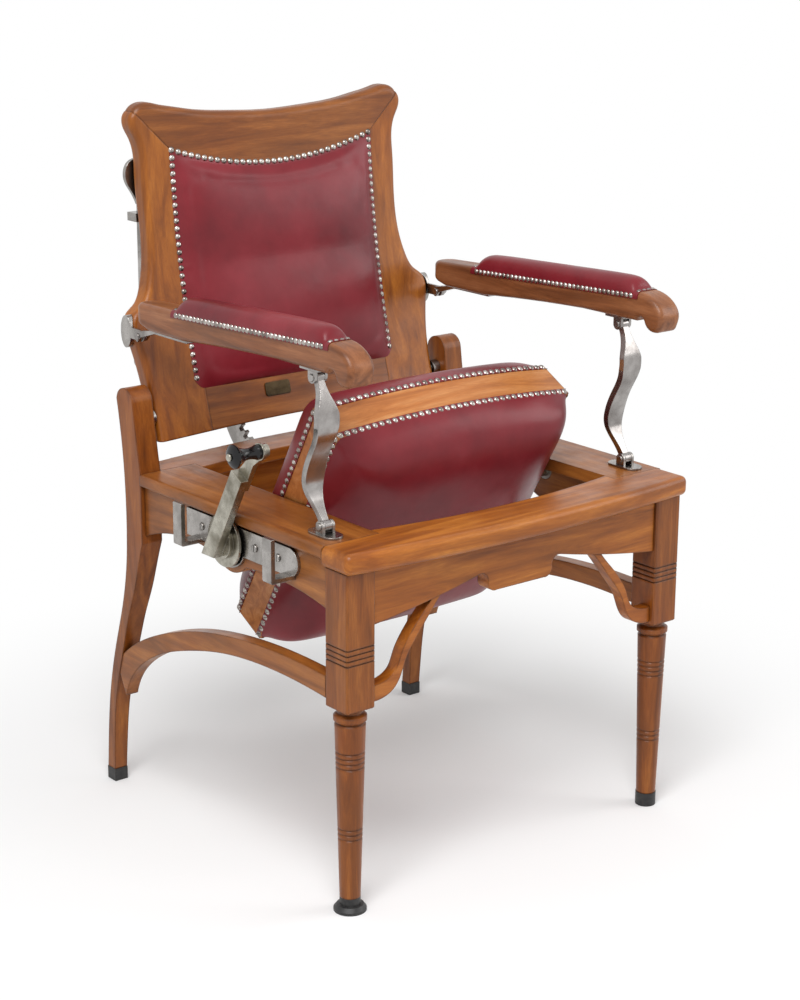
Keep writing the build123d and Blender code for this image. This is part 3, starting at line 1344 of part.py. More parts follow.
with BuildPart() as release_rod:
    with BuildSketch(Plane((crank_x, rod_y, pawl_z))):
        Circle(rod_radius)
    extrude(amount=spoon_low + rod_radius - pawl_z)
    add(rod_between(crank_x - eye_thick / 2, crank_x + eye_thick / 2, rod_y, pawl_z, rod_eye))
    add(rod_between(crank_x - eye_thick, crank_x + eye_thick, rod_y, pawl_z, iron_pin + rod_eye_play),
        mode=Mode.SUBTRACT)
    with BuildSketch(Plane.XZ.offset(-rod_y - spoon_thick / 2)):
        with BuildLine():
            belly_z = spoon_low + spoon_belly_share * (spoon_high - spoon_low)
            for side in (-1, 1):
                Spline((crank_x + side * rod_radius, spoon_low), (crank_x + side * spoon_half, belly_z),
                       (crank_x, spoon_high), tangents=((side * rod_radius, 2 * spoon_thick), (-side, 0)))
            Line((crank_x - rod_radius, spoon_low), (crank_x + rod_radius, spoon_low))
        make_face()
    extrude(amount=spoon_thick)
save(release_rod.part, "release_rod")

guide_rises = (165.0, 303.0)
guide_half_wide = 14.0
guide_half_high = 6.0
guide_play = 0.5


def on_back_block(x, z, reach, half_wide, half_high, hole):
    """A block on the rear of the back that holds a rod or shaft."""
    with BuildPart() as block:
        with BuildSketch(side_plane(x - half_wide)):
            with Locations(((back_point(z, 0)[0] + reach) / 2, z)):
                Rectangle(reach - back_point(z, 0)[0], 2 * half_high)
        extrude(amount=2 * half_wide)
        with BuildSketch(side_plane(x - half_wide - overrun)):
            with Locations((back_arc_y, back_arc_z)):
                Circle(back_arc_radius + back_thick)
        extrude(amount=2 * (half_wide + overrun), mode=Mode.SUBTRACT)
        add(hole, mode=Mode.SUBTRACT)
    return block.part


rod_way = Cylinder(rod_radius + guide_play, back_height, mode=Mode.PRIVATE).moved(
    Location((crank_x, rod_y, pawl_z + back_height / 2)))
shaft_way = rod_between(-back_half, back_half, pawl_y, pawl_z, pawl_shaft_radius + turning_play)
bearing_places = (crank_x + 2 * guide_half_wide, pawl_end - guide_half_wide / 2)
back_irons = [on_back_block(crank_x, z, rod_y + rod_radius + guide_half_high, guide_half_wide, guide_half_high,
                            rod_way) for z in [back_bottom + rise for rise in guide_rises]]
back_irons += [on_back_block(x, pawl_z, pawl_y + pawl_hub, guide_half_high, pawl_hub, shaft_way)
               for x in bearing_places]
save(Compound([block.solids()[0] for block in back_irons]), "rod_guides")
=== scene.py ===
import math

import bpy
from mathutils import Matrix, Vector


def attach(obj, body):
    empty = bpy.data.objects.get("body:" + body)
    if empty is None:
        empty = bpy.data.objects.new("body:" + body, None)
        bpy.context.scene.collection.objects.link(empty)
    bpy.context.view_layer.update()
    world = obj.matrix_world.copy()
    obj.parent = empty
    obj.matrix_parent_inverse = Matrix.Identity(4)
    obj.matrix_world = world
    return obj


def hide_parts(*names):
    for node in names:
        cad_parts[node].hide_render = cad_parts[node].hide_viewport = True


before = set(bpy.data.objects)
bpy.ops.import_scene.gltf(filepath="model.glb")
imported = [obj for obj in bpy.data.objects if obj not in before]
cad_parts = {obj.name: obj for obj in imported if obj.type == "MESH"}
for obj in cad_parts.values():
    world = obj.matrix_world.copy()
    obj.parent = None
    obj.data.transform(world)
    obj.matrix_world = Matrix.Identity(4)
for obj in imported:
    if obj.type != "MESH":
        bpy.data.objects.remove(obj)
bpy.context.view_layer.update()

# Camera. The chair is seen from its front right corner, a little above the
# arms, from about three metres away with a long lens.
camera_place = (-1.89795, -2.32274, 1.34063)
camera_azimuth, camera_elevation, camera_roll = (math.radians(a) for a in (-38.96, 16.29, 0.32))
camera_back = Vector((math.sin(camera_azimuth) * math.cos(camera_elevation),
                      -math.cos(camera_azimuth) * math.cos(camera_elevation), math.sin(camera_elevation)))
level_right = (-camera_back).cross(Vector((0, 0, 1))).normalized()
level_up = level_right.cross(-camera_back)
camera_right = level_right * math.cos(camera_roll) + level_up * math.sin(camera_roll)
camera_up = level_up * math.cos(camera_roll) - level_right * math.sin(camera_roll)
camera_turn = Matrix((camera_right, camera_up, camera_back)).transposed().to_4x4()
bpy.ops.object.camera_add()
camera = bpy.context.object
camera.matrix_world = Matrix.Translation(camera_place) @ camera_turn
camera.data.lens = 79.73
camera.data.sensor_width = 36
camera.data.shift_x = 0.0084
camera.data.shift_y = -0.0042
bpy.context.scene.camera = camera


# Legs. Oiled and varnished walnut-brown wood gone orange with age: square
# blocks above, turned tapers below, with rings cut while they spun.
def shade(red, green, blue):
    """A colour in screen values from 0 to 255, turned into the linear light that the shader wants."""
    return tuple((c / 255 / 12.92) if c < 11 else ((c / 255 + 0.055) / 1.055) ** 2.4
                 for c in (red, green, blue)) + (1.0,)


def add_node(tree, kind, **values):
    """A shader node, with its settings by name and its sockets by name or place."""
    made = tree.nodes.new(kind)
    for name, value in values.items():
        if name.startswith("in_"):
            key = name[3:]
            socket = made.inputs[int(key) if key.isdigit() else key.replace("_", " ")]
            if hasattr(value, "is_output"):
                tree.links.new(value, socket)
            else:
                socket.default_value = value
        else:
            setattr(made, name, value)
    return made


def ramp(tree, factor, *stops):
    """A colour ramp with stops of place and colour."""
    made = add_node(tree, "ShaderNodeValToRGB", in_0=factor)
    while len(made.color_ramp.elements) < len(stops):
        made.color_ramp.elements.new(0.5)
    for element, (place, colour) in zip(made.color_ramp.elements, stops):
        element.position = place
        element.color = colour
    return made.outputs[0]


def noise(tree, place, scale, detail=4.0, rough=0.55, twist=0.0):
    """Smooth noise at a scale per metre."""
    return add_node(tree, "ShaderNodeTexNoise", in_Vector=place, in_Scale=scale, in_Detail=detail,
                    in_Roughness=rough, in_Distortion=twist).outputs[0]


def blend_colours(tree, factor, first, second, how="MIX"):
    """Two colours mixed by a factor."""
    made = add_node(tree, "ShaderNodeMix", data_type="RGBA", blend_type=how, in_0=factor)
    for socket, value in ((made.inputs[6], first), (made.inputs[7], second)):
        if hasattr(value, "is_output"):
            tree.links.new(value, socket)
        else:
            socket.default_value = value
    return made.outputs[2]


def rescale(tree, value, low, high, to_low=0.0, to_high=1.0):
    """A value stretched from one range onto another, and held inside it."""
    return add_node(tree, "ShaderNodeMapRange", in_0=value, in_1=low, in_2=high, in_3=to_low,
                    in_4=to_high).outputs[0]


def new_finish(name):
    """A material with its shader, and the point on the piece that patterns read."""
    finish = bpy.data.materials.new(name)
    finish.use_nodes = True
    tree = finish.node_tree
    shader = next(n for n in tree.nodes if n.type == "BSDF_PRINCIPLED")
    place = add_node(tree, "ShaderNodeTexCoord").outputs["Object"]
    return finish, tree, shader, place


def rounded_normal(tree, width):
    """The normal of a piece as if its edges were rubbed round over a width."""
    return add_node(tree, "ShaderNodeBevel", samples=6, in_Radius=width).outputs[0]


def worn_edges(tree, rounded):
    """1 on the corners of a piece, where the rounded normal leaves the flat one, and 0 on its flats."""
    flat = add_node(tree, "ShaderNodeNewGeometry").outputs["True Normal"]
    agree = add_node(tree, "ShaderNodeVectorMath", operation="DOT_PRODUCT", in_0=rounded, in_1=flat)
    return rescale(tree, agree.outputs["Value"], 0.995, 0.86)


def varnished_wood(name, grain, light=shade(192, 120, 44), middle=shade(158, 90, 26),
                   dark=shade(120, 64, 16), wear_and_shade=shade(58, 30, 12)):
    """Old varnished wood whose grain runs along one axis of the chair."""
    finish, tree, shader, place = new_finish(name)
    along = {"x": (1, 11, 11), "y": (11, 1, 11), "z": (11, 11, 1)}[grain]
    stretched = add_node(tree, "ShaderNodeMapping", in_0=place, in_3=along).outputs[0]
    figure = noise(tree, stretched, 4.2, 5, 0.6, 0.9)
    fibres = noise(tree, stretched, 58, 3, 0.6)
    patches = noise(tree, place, 7, 3)
    wood = ramp(tree, figure, (0.30, dark), (0.50, middle), (0.72, light))
    wood = blend_colours(tree, rescale(tree, patches, 0.42, 0.75, 0, 0.55), wood, blend_colours(
        tree, 1.0, wood, shade(232, 206, 178), "MULTIPLY"))
    wood = blend_colours(tree, rescale(tree, fibres, 0.35, 0.62, 0.30, 0), wood, dark)
    rounded = rounded_normal(tree, 0.0035)
    scuffs = noise(tree, place, 34, 4)
    wear = add_node(tree, "ShaderNodeMath", operation="MULTIPLY", in_0=worn_edges(tree, rounded),
                    in_1=rescale(tree, scuffs, 0.40, 0.62, 0.10, 0.75)).outputs[0]
    # The worn corners take the wear-and-shade tint; this is real edge wear.
    wood = blend_colours(tree, wear, wood, wear_and_shade)
    # Painted shade: the wood is pulled towards the dark wear-and-shade tint where ambient occlusion finds
    # crevices, corners and joints between parts.
    painted_shade = add_node(tree, "ShaderNodeAmbientOcclusion", samples=6, in_Distance=0.014).outputs["AO"]
    wood = blend_colours(tree, rescale(tree, painted_shade, 0.75, 0.25, 0, 0.7), wood, wear_and_shade)
    tree.links.new(wood, shader.inputs["Base Color"])
    tree.links.new(rescale(tree, scuffs, 0.3, 0.7, 0.30, 0.46), shader.inputs["Roughness"])
    pores = add_node(tree, "ShaderNodeBump", in_Strength=0.18, in_Distance=0.0006, in_Height=fibres,
                     in_Normal=rounded).outputs[0]
    tree.links.new(pores, shader.inputs["Normal"])
    shader.inputs["Specular IOR Level"].default_value = 0.32
    shader.inputs["Coat Weight"].default_value = 0.10
    shader.inputs["Coat Roughness"].default_value = 0.18
    return finish


def wear_finish(finish, *names):
    """Gives CAD nodes, by name, a finish."""
    for name in names:
        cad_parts[name].data.materials.clear()
        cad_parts[name].data.materials.append(finish)


upright_wood = varnished_wood("upright_wood", "z", shade(160, 96, 36), shade(132, 72, 20),
                              shade(94, 48, 12))
wear_finish(upright_wood, "front_leg_left", "front_leg_right", "rear_leg_left", "rear_leg_right")

# Boards, rails, apron, stretchers and braces. The same wood, sawn along its
# length and glued up with hidden tenons.
wide_wood = varnished_wood("wide_wood", "x")
deep_wood = varnished_wood("deep_wood", "y", shade(172, 108, 46), shade(142, 84, 32), shade(108, 60, 20))
wear_finish(wide_wood, "front_board", "rear_board", "front_apron", "rear_rail", "corner_brace_left",
            "corner_brace_right")
wear_finish(deep_wood, "side_board_left", "side_board_right", "side_rail_left", "side_rail_right",
            "side_stretcher_left", "side_stretcher_right")

# Feet. Plain black rubber caps pushed on to three legs, and a wide disc glide
# screwed under the right front leg.
foot_finish, foot_tree, foot_shader, foot_place = new_finish("black_foot")
foot_tree.links.new(ramp(foot_tree, noise(foot_tree, foot_place, 160), (0.35, shade(20, 20, 21)),
                         (0.7, shade(44, 43, 42))), foot_shader.inputs["Base Color"])
foot_shader.inputs["Roughness"].default_value = 0.48
foot_tree.links.new(add_node(foot_tree, "ShaderNodeBump", in_Strength=0.3, in_Distance=0.0004,
                             in_Height=noise(foot_tree, foot_place, 500)).outputs[0],
                    foot_shader.inputs["Normal"])
wear_finish(foot_finish, "front_glide_right", "front_cap_left", "rear_caps")


# Ironwork of the frame. Nickelled iron castings and plate, worn to grey, with
# painted shade in the corners: hook plate, bushes, pins, post feet and the quadrant.
def nickelled_iron(name, bright=shade(176, 172, 168), dull=shade(134, 130, 126), smooth=0.20,
                   rough=0.36, speckled=0.35, cast_depth=0.12):
    """Nickel plate on iron, dulled in patches, with dark specks and a cast skin under it."""
    finish, tree, shader, place = new_finish(name)
    patches = noise(tree, place, 26, 5, 0.65)
    specks = noise(tree, place, 420, 3)
    metal = ramp(tree, patches, (0.34, dull), (0.62, bright))
    metal = blend_colours(tree, rescale(tree, specks, 0.60, 0.72, 0, speckled), metal, shade(84, 78, 70))
    # Painted shade: the metal goes towards a dark grey-brown where ambient occlusion finds corners and
    # crevices.
    painted_shade = add_node(tree, "ShaderNodeAmbientOcclusion", samples=6, in_Distance=0.008).outputs["AO"]
    metal = blend_colours(tree, rescale(tree, painted_shade, 0.70, 0.25, 0, 0.75), metal, shade(52, 46, 40))
    tree.links.new(metal, shader.inputs["Base Color"])
    shader.inputs["Metallic"].default_value = 1.0
    tree.links.new(rescale(tree, patches, 0.3, 0.7, rough, smooth), shader.inputs["Roughness"])
    cast = add_node(tree, "ShaderNodeBump", in_Strength=cast_depth, in_Distance=0.0006,
                    in_Height=noise(tree, place, 180, 4), in_Normal=rounded_normal(tree, 0.0012)).outputs[0]
    tree.links.new(cast, shader.inputs["Normal"])
    return finish


frame_iron = nickelled_iron("frame_iron")
wear_finish(frame_iron, "hook_plate", "plate_screws", "shaft_bushes", "shaft_cover_left", "back_pivot_pins",
            "post_feet", "ratchet_quadrant")

# Seat ring and core. A thick wooden frame round a board, its rubbed edge left
# bare between the two leather covers. Square iron flanges with the stub shafts
# are screwed to its sides, and the lever sits on the right one.
wear_finish(varnished_wood("seat_wood", "x", shade(208, 148, 92), shade(186, 116, 56), shade(142, 80, 32)),
            "seat_ring", "seat_core")
wear_finish(nickelled_iron("seat_iron", shade(188, 184, 172), shade(126, 121, 108)), "seat_shaft_left",
            "seat_shaft_right", "seat_lever", "knob_pin")

# Lever knob. A turned wooden spool, lacquered black, that spins on the pin at
# the lever's end.
knob_finish, knob_tree, knob_shader, knob_place = new_finish("black_lacquer")
knob_tree.links.new(ramp(knob_tree, noise(knob_tree, knob_place, 90), (0.4, shade(6, 6, 8)),
                         (0.7, shade(15, 15, 17))), knob_shader.inputs["Base Color"])
knob_tree.links.new(rescale(knob_tree, noise(knob_tree, knob_place, 220), 0.3, 0.7, 0.10, 0.26),
                    knob_shader.inputs["Roughness"])
knob_shader.inputs["Specular IOR Level"].default_value = 0.4
wear_finish(knob_finish, "lever_knob")

# Leather of the seat. Burgundy hide drawn over stuffing on each face of the
# ring, pulled down over its edge and nailed, smooth and polished by use.
def burgundy_leather(name, light=shade(136, 38, 48), middle=shade(116, 26, 35), dark=shade(90, 16, 25)):
    """Smooth old upholstery hide, darker with painted shade in its creases and round the nails."""
    finish, tree, shader, place = new_finish(name)
    patches = noise(tree, place, 7, 4, 0.6)
    hide = ramp(tree, patches, (0.28, dark), (0.52, middle), (0.78, light))
    rubbed = noise(tree, place, 60, 4, 0.7)
    hide = blend_colours(tree, rescale(tree, rubbed, 0.60, 0.80, 0, 0.20), hide, light)
    # Painted shade: the hide goes towards a near-black red where ambient occlusion finds creases, seams and
    # the hollows round the nails.
    painted_shade = add_node(tree, "ShaderNodeAmbientOcclusion", samples=6, in_Distance=0.005).outputs["AO"]
    hide = blend_colours(tree, rescale(tree, painted_shade, 0.80, 0.35, 0, 0.8), hide, shade(38, 12, 14))
    tree.links.new(hide, shader.inputs["Base Color"])
    tree.links.new(rescale(tree, noise(tree, place, 20), 0.3, 0.7, 0.30, 0.42), shader.inputs["Roughness"])
    grain = add_node(tree, "ShaderNodeTexVoronoi", in_Vector=place, in_Scale=900).outputs["Distance"]
    fine = add_node(tree, "ShaderNodeBump", in_Strength=0.12, in_Distance=0.0003,
                    in_Height=grain).outputs[0]
    soft = add_node(tree, "ShaderNodeBump", in_Strength=0.20, in_Distance=0.003,
                    in_Height=noise(tree, place, 22, 3), in_Normal=fine).outputs[0]
    tree.links.new(soft, shader.inputs["Normal"])
    shader.inputs["Specular IOR Level"].default_value = 0.30
    shader.inputs["Coat Weight"].default_value = 0.08
    shader.inputs["Coat Roughness"].default_value = 0.2
    return finish


def between(stops, at):
    """The value at a place among stops of place and value, in straight runs."""
    for (low, first), (high, second) in zip(stops, stops[1:]):
        if at <= high:
            return first + (second - first) * max(0.0, at - low) / (high - low)
    return stops[-1][1]


def leather_sheet(name, columns, rows, place_of):
    """A grid of hide whose points are put in place by their column and row, each from -1 to 1."""
    bpy.ops.object.select_all(action="DESELECT")
    bpy.ops.mesh.primitive_grid_add(x_subdivisions=columns, y_subdivisions=rows, size=2)
    sheet = bpy.context.object
    sheet.name = name
    for point in sheet.data.vertices:
        point.co = place_of(round(point.co.x, 6), round(point.co.y, 6))
    return sheet


def stuff(sheet, held, easing, pressure, most):
    """Eases the sheet and swells it. Held points stay, and no other swells further than most."""
    bpy.context.view_layer.objects.active = sheet
    bpy.ops.object.mode_set(mode="EDIT")
    bpy.ops.mesh.select_all(action="DESELECT")
    bpy.ops.object.mode_set(mode="OBJECT")
    for point in sheet.data.vertices:
        point.select = not held(point.co)
    bpy.ops.object.mode_set(mode="EDIT")
    bpy.ops.mesh.vertices_smooth(factor=0.5, repeat=easing)
    bpy.ops.object.mode_set(mode="OBJECT")
    before = [point.co.copy() for point in sheet.data.vertices]
    nailed = sheet.vertex_groups.new(name="nailed")
    nailed.add([point.index for point in sheet.data.vertices if held(point.co)], 1.0, "REPLACE")
    cloth = sheet.modifiers.new("stuffing", "CLOTH")
    cloth.settings.vertex_group_mass = "nailed"
    cloth.settings.use_pressure = True
    cloth.settings.uniform_pressure_force = pressure
    cloth.settings.effector_weights.gravity = 0
    cloth.settings.mass = hide_mass
    cloth.settings.bending_stiffness = hide_stiffness
    for turn in range(1, swell_frames + 1):
        bpy.context.scene.frame_set(turn)
    bpy.context.view_layer.objects.active = sheet
    bpy.ops.object.modifier_apply(modifier="stuffing")
    for point, start in zip(sheet.data.vertices, before):
        move = point.co - start
        if move.length > most:
            point.co = start + move * most / move.length
    bpy.context.scene.frame_set(1)


def finish_leather(sheet, under, to_chair, body, node):
    """Smooths the sheet, closes it with an underside that faces outward too, and fits it to the chair."""
    bpy.ops.object.select_all(action="DESELECT")
    sheet.select_set(True)
    bpy.context.view_layer.objects.active = sheet
    smooth = sheet.modifiers.new("smooth", "SUBSURF")
    smooth.levels = smooth.render_levels = 1
    smooth.boundary_smooth = "PRESERVE_CORNERS"
    bpy.ops.object.modifier_apply(modifier="smooth")
    bpy.ops.object.mode_set(mode="EDIT")
    bpy.ops.mesh.select_all(action="SELECT")
    bpy.ops.mesh.extrude_region_move()
    bpy.ops.object.mode_set(mode="OBJECT")
    for point in sheet.data.vertices:
        if point.select:
            point.co = under(point.co)
    bpy.ops.object.mode_set(mode="EDIT")
    bpy.ops.mesh.select_all(action="SELECT")
    bpy.ops.mesh.normals_make_consistent(inside=False)
    bpy.ops.object.mode_set(mode="OBJECT")
    if sum(face.area * face.normal.dot(face.center) for face in sheet.data.polygons) < 0:
        sheet.data.flip_normals()
    bpy.ops.object.shade_smooth_by_angle(angle=hide_crease_angle)
    sheet.data.transform(to_chair)
    sheet.data.materials.append(leather)
    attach(sheet, body)
    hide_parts(node)


leather = burgundy_leather("burgundy_leather")
hide_mass, hide_stiffness, swell_frames, hide_crease_angle = 0.15, 4, 20, math.radians(50)
ring_half_wide, ring_half_deep, ring_half_thick, ring_bow = 0.205, 0.187, 0.031, 0.013
hide_thick, hide_edge = 0.0012, 0.022
hide_lift, hide_rim_lift, hide_held_lift = 0.0005, 0.0006, 0.002
hide_in_wide, hide_in_deep = 0.999, 0.993
seat_columns, seat_rows, seat_easing = 64, 60, 14
seat_pressure, seat_most_swell, seat_fill = 3.0, 0.007, 0.8
seat_crown, crown_draw = 0.062, 0.118
crown_end, skirt_start = 0.36, 0.955
draw_shares = ((0.0, 1.0), (crown_end, 1.0), (0.46, 0.80), (0.56, 0.60), (0.66, 0.38), (0.76, 0.20),
               (0.85, 0.09), (0.91, 0.035), (skirt_start, 0.0), (1.0, 0.0))
rise_shares = ((0.0, 1.0), (crown_end, 0.985), (0.46, 0.955), (0.56, 0.91), (0.66, 0.81), (0.76, 0.64),
               (0.85, 0.42), (0.91, 0.20), (skirt_start, 0.02), (1.0, 0.0))
seat_pivot_height, seat_turned_by = 0.457, math.radians(119)


def seat_hide_place(across, along):
    """A point of the seat's cover, on square rings from the crown out to the nailed edge."""
    ring = max(abs(across), abs(along))
    draw = between(draw_shares, ring) * crown_draw
    wide, deep = ring_half_wide + hide_thick - draw, ring_half_deep + hide_thick - draw
    if ring < crown_end:
        wide, deep = wide * ring / crown_end, deep * ring / crown_end
    x = wide * across / ring if ring else 0.0
    y = deep * along / ring if ring else 0.0
    y += ring_bow * (1 - (x / ring_half_wide) ** 2) * (y / (ring_half_deep + hide_thick))
    drop = (ring_half_thick - hide_edge) * max(0.0, ring - skirt_start) / (1 - skirt_start)
    return Vector((x, y, ring_half_thick + hide_lift + between(rise_shares, ring) * seat_crown - drop))


def seat_hide_held(point):
    """True on the skirt that is nailed to the ring's edge."""
    return point.z < ring_half_thick + hide_held_lift


def seat_hide_under(point):
    """The underside of the seat's cover, on the ring's face and down its edge."""
    shrink = ring_half_wide / (ring_half_wide + hide_thick)
    if point.z < ring_half_thick + hide_rim_lift:
        return Vector((point.x * shrink, point.y * shrink, min(point.z, ring_half_thick)))
    x = max(-ring_half_wide, min(ring_half_wide, point.x))
    return Vector((x * hide_in_wide, point.y * hide_in_deep, ring_half_thick))


for face_name, half_turn in (("front", 0), ("back", math.pi)):
    cover = leather_sheet("seat_leather_" + face_name, seat_columns, seat_rows, seat_hide_place)
    stuff(cover, seat_hide_held, seat_easing, seat_pressure, seat_most_swell)
    to_face = Matrix.Rotation(seat_turned_by, 4, "X") @ Matrix.Rotation(half_turn, 4, "X")
    finish_leather(cover, seat_hide_under, Matrix.Translation((0, 0, seat_pivot_height)) @ to_face,
                   "seat", "seat_cushion_" + face_name)

# Back frame. Two sawn stiles, a crest with rounded horns, a bottom rail and a
# thin board behind, all bent to one hollow curve.
back_wood = varnished_wood("back_wood", "z", shade(176, 106, 34), shade(146, 82, 20), shade(110, 56, 12))
crest_wood = varnished_wood("crest_wood", "x", shade(158, 96, 40), shade(126, 70, 22), shade(90, 46, 14))
wear_finish(back_wood, "back_stile_left", "back_stile_right")
wear_finish(crest_wood, "crest_rail", "back_bottom_rail")
wear_finish(varnished_wood("backing_board", "x", shade(112, 74, 44), shade(90, 58, 34), shade(64, 40, 24)),
            "back_panel")
wear_finish(nickelled_iron("back_iron"), "arm_hinge_brackets", "rod_guides")
wear_finish(nickelled_iron("dark_plate", shade(88, 74, 54), shade(44, 36, 26), smooth=0.4, rough=0.6,
                           speckled=0.8), "back_plate")
wear_finish(nickelled_iron("rod_iron"), "release_rod", "pawl_shaft")

# Leather of the back. One hide over stuffing with a sewn seam across its
# middle, nailed down the sides and along the hollow top, turned in below.
back_centre_y, back_centre_z, back_radius = -1.2886, 1.0333, 1.5953
back_hide_half, back_hide_low, back_hide_seam = 0.180, 0.598, 0.768
back_hide_mid_top, back_hide_corner_lift = 0.9032, 0.0288
back_crown, back_rim, back_held_rise, back_under_gap = 0.023, 0.0005, 0.0009, 0.00005
back_columns, back_rows, back_easing = 60, 64, 10
back_pressure, back_most_swell, back_fill = 1.2, 0.003, 0.7
seam_half_wide = 0.001
edge_column, edge_share = 0.9, 0.917
corner_lift, corner_start, corner_rows = 0.012, 0.93, 0.1
back_across = ((0.0, 1.0), (0.30, 0.99), (0.50, 0.955), (0.65, 0.89), (0.77, 0.79), (0.86, 0.64),
               (edge_share, 0.46), (0.945, 0.27), (0.972, 0.0), (1.0, 0.0))
back_low_panel = ((0.0, 0.0), (0.035, 0.34), (0.09, 0.56), (0.18, 0.76), (0.32, 0.92), (0.5, 1.0),
                  (0.68, 1.0), (0.84, 0.93), (1.0, 0.80))
back_high_panel = ((0.0, 0.80), (0.12, 0.88), (0.28, 0.95), (0.45, 0.96), (0.60, 0.88), (0.73, 0.72),
                   (0.83, 0.50), (0.90, 0.26), (0.94, 0.08), (0.955, 0.0), (1.0, 0.0))


def on_back(x, z, proud):
    """A point above the back frame's hollow front, by its height there."""
    drop = z - back_centre_z
    reach = math.sqrt(back_radius ** 2 - drop ** 2)
    keep = (back_radius - proud) / back_radius
    return Vector((x, back_centre_y + reach * keep, back_centre_z + drop * keep))


def back_hide_place(across, along):
    """A point of the back's cover, with its seam along the middle row."""
    share = min(abs(across), edge_column) / edge_column * edge_share
    share += max(0.0, abs(across) - edge_column) / (1 - edge_column) * (1 - edge_share)
    x = math.copysign(share * back_hide_half, across)
    high = back_hide_mid_top + back_hide_corner_lift * share ** 2
    if along < 0:
        z = back_hide_low + (back_hide_seam - back_hide_low) * (along + 1)
        corner = max(0.0, (share - corner_start) / (1 - corner_start)) ** 2
        z += corner_lift * corner * max(0.0, (-along - 1 + corner_rows) / corner_rows)
        swell = between(back_low_panel, along + 1)
    else:
        z = back_hide_seam + (high - back_hide_seam) * along
        swell = between(back_high_panel, along)
    return on_back(x, z, back_rim + back_crown * swell * between(back_across, share))


def back_hide_held(point):
    """True on the nailed edges and along the seam."""
    reach = math.hypot(point.y - back_centre_y, point.z - back_centre_z)
    return back_radius - reach < back_held_rise or abs(point.z - back_hide_seam) < seam_half_wide


def back_hide_under(point):
    """The underside of the back's cover, on the frame's face."""
    y, z = point.y - back_centre_y, point.z - back_centre_z
    keep = (back_radius - back_under_gap) / math.hypot(y, z)
    return Vector((point.x, back_centre_y + y * keep, back_centre_z + z * keep))


back_cover = leather_sheet("back_leather", back_columns, back_rows, back_hide_place)
bpy.ops.object.mode_set(mode="EDIT")
bpy.ops.mesh.select_all(action="SELECT")
bpy.ops.mesh.flip_normals()
bpy.ops.mesh.select_all(action="DESELECT")
bpy.ops.object.mode_set(mode="OBJECT")
seam_start = back_rows // 2 * (back_columns + 1)
for turn in range(seam_start, seam_start + back_columns + 1):
    back_cover.data.vertices[turn].select = True
bpy.ops.object.mode_set(mode="EDIT")
bpy.ops.mesh.select_mode(type="EDGE")
bpy.ops.transform.edge_crease(value=1)
bpy.ops.mesh.select_mode(type="VERT")
bpy.ops.object.mode_set(mode="OBJECT")
stuff(back_cover, back_hide_held, back_easing, back_pressure, back_most_swell)
finish_leather(back_cover, back_hide_under, Matrix.Identity(4), "back", "back_pad")

# Arms. Sawn wood with a scroll for the hand, hinged to the back by an iron and
# held up in front by a bent post of polished iron.
arm_wood = varnished_wood("arm_wood", "y", shade(164, 108, 70), shade(134, 82, 48), shade(94, 54, 30))
wear_finish(arm_wood, "arm_left", "arm_right")
arm_iron = nickelled_iron("arm_iron", shade(170, 166, 163), shade(128, 123, 120), smooth=0.16, rough=0.30,
                          speckled=0.08, cast_depth=0.03)
wear_finish(arm_iron, "arm_irons_left", "arm_irons_right", "arm_post_left", "arm_post_right")

# Arm pads. Narrow loaves of stuffing under burgundy hide, drawn down over the
# arms' rounded edges and nailed along the sides and across both ends.
arm_centre_x, arm_half_wide, arm_edge_round = 0.267, 0.020, 0.007
arm_top_y, arm_top_z, arm_top_slope = -0.1999, 0.7581, -0.0446
loaf_front, loaf_rear, loaf_end_slack, loaf_held_rise = -0.196, 0.136, 0.0001, -0.003
loaf_grid_columns, loaf_grid_rows, loaf_easing = 16, 50, 2
loaf_pressure, loaf_most_swell, loaf_fill = 3.0, 0.002, 0.8
loaf_columns = ((-1.0, 0.0209, -0.010, 0.0209, -0.010), (-0.875, 0.0209, -0.0066, 0.0209, -0.0066),
                (-0.75, 0.0209, -0.003, 0.0203, -0.0040), (-0.625, 0.0207, 0.001, 0.0186, -0.0014),
                (-0.5, 0.0198, 0.0062, 0.0160, 0.0003), (-0.375, 0.0170, 0.0122, 0.0130, 0.0009),
                (-0.25, 0.0125, 0.0168, 0.0087, 0.0009), (-0.125, 0.0066, 0.0192, 0.0043, 0.0009),
                (0.0, 0.0, 0.0200, 0.0, 0.0009))
loaf_end = ((-0.009, 0.0), (0.0, 0.0), (0.0006, 0.22), (0.003, 0.52), (0.007, 0.74), (0.013, 0.88),
            (0.022, 0.96), (0.06, 1.0), (0.2, 1.0))
loaf_rows = ((-1.0, -0.009), (-0.96, -0.004), (-0.93, -0.0002), (-0.90, 0.0006), (-0.86, 0.003),
             (-0.82, 0.007), (-0.77, 0.013), (-0.70, 0.022), (-0.60, 0.040), (0.0, 0.166))


def arm_level(y):
    """The height of an arm's top at a depth."""
    return arm_top_z + arm_top_slope * (y - arm_top_y)


def loaf_place(across, along):
    """A point of an arm pad, over the arm's middle line, from its flat ends to its full height."""
    full_x, full_z, low_x, low_z = (between([(row[0], row[turn]) for row in loaf_columns], -abs(across))
                                    for turn in (1, 2, 3, 4))
    inside = between(loaf_rows, -abs(along))
    share = between(loaf_end, inside)
    y = loaf_front + inside if along < 0 else loaf_rear - inside
    x = math.copysign(low_x + (full_x - low_x) * share, across)
    return Vector((x, y, arm_level(y) + low_z + (full_z - low_z) * share))


def loaf_held(point):
    """True on the skirt and the flat ends."""
    if point.z - arm_level(point.y) < loaf_held_rise:
        return True
    return not loaf_front - loaf_end_slack < point.y < loaf_rear + loaf_end_slack


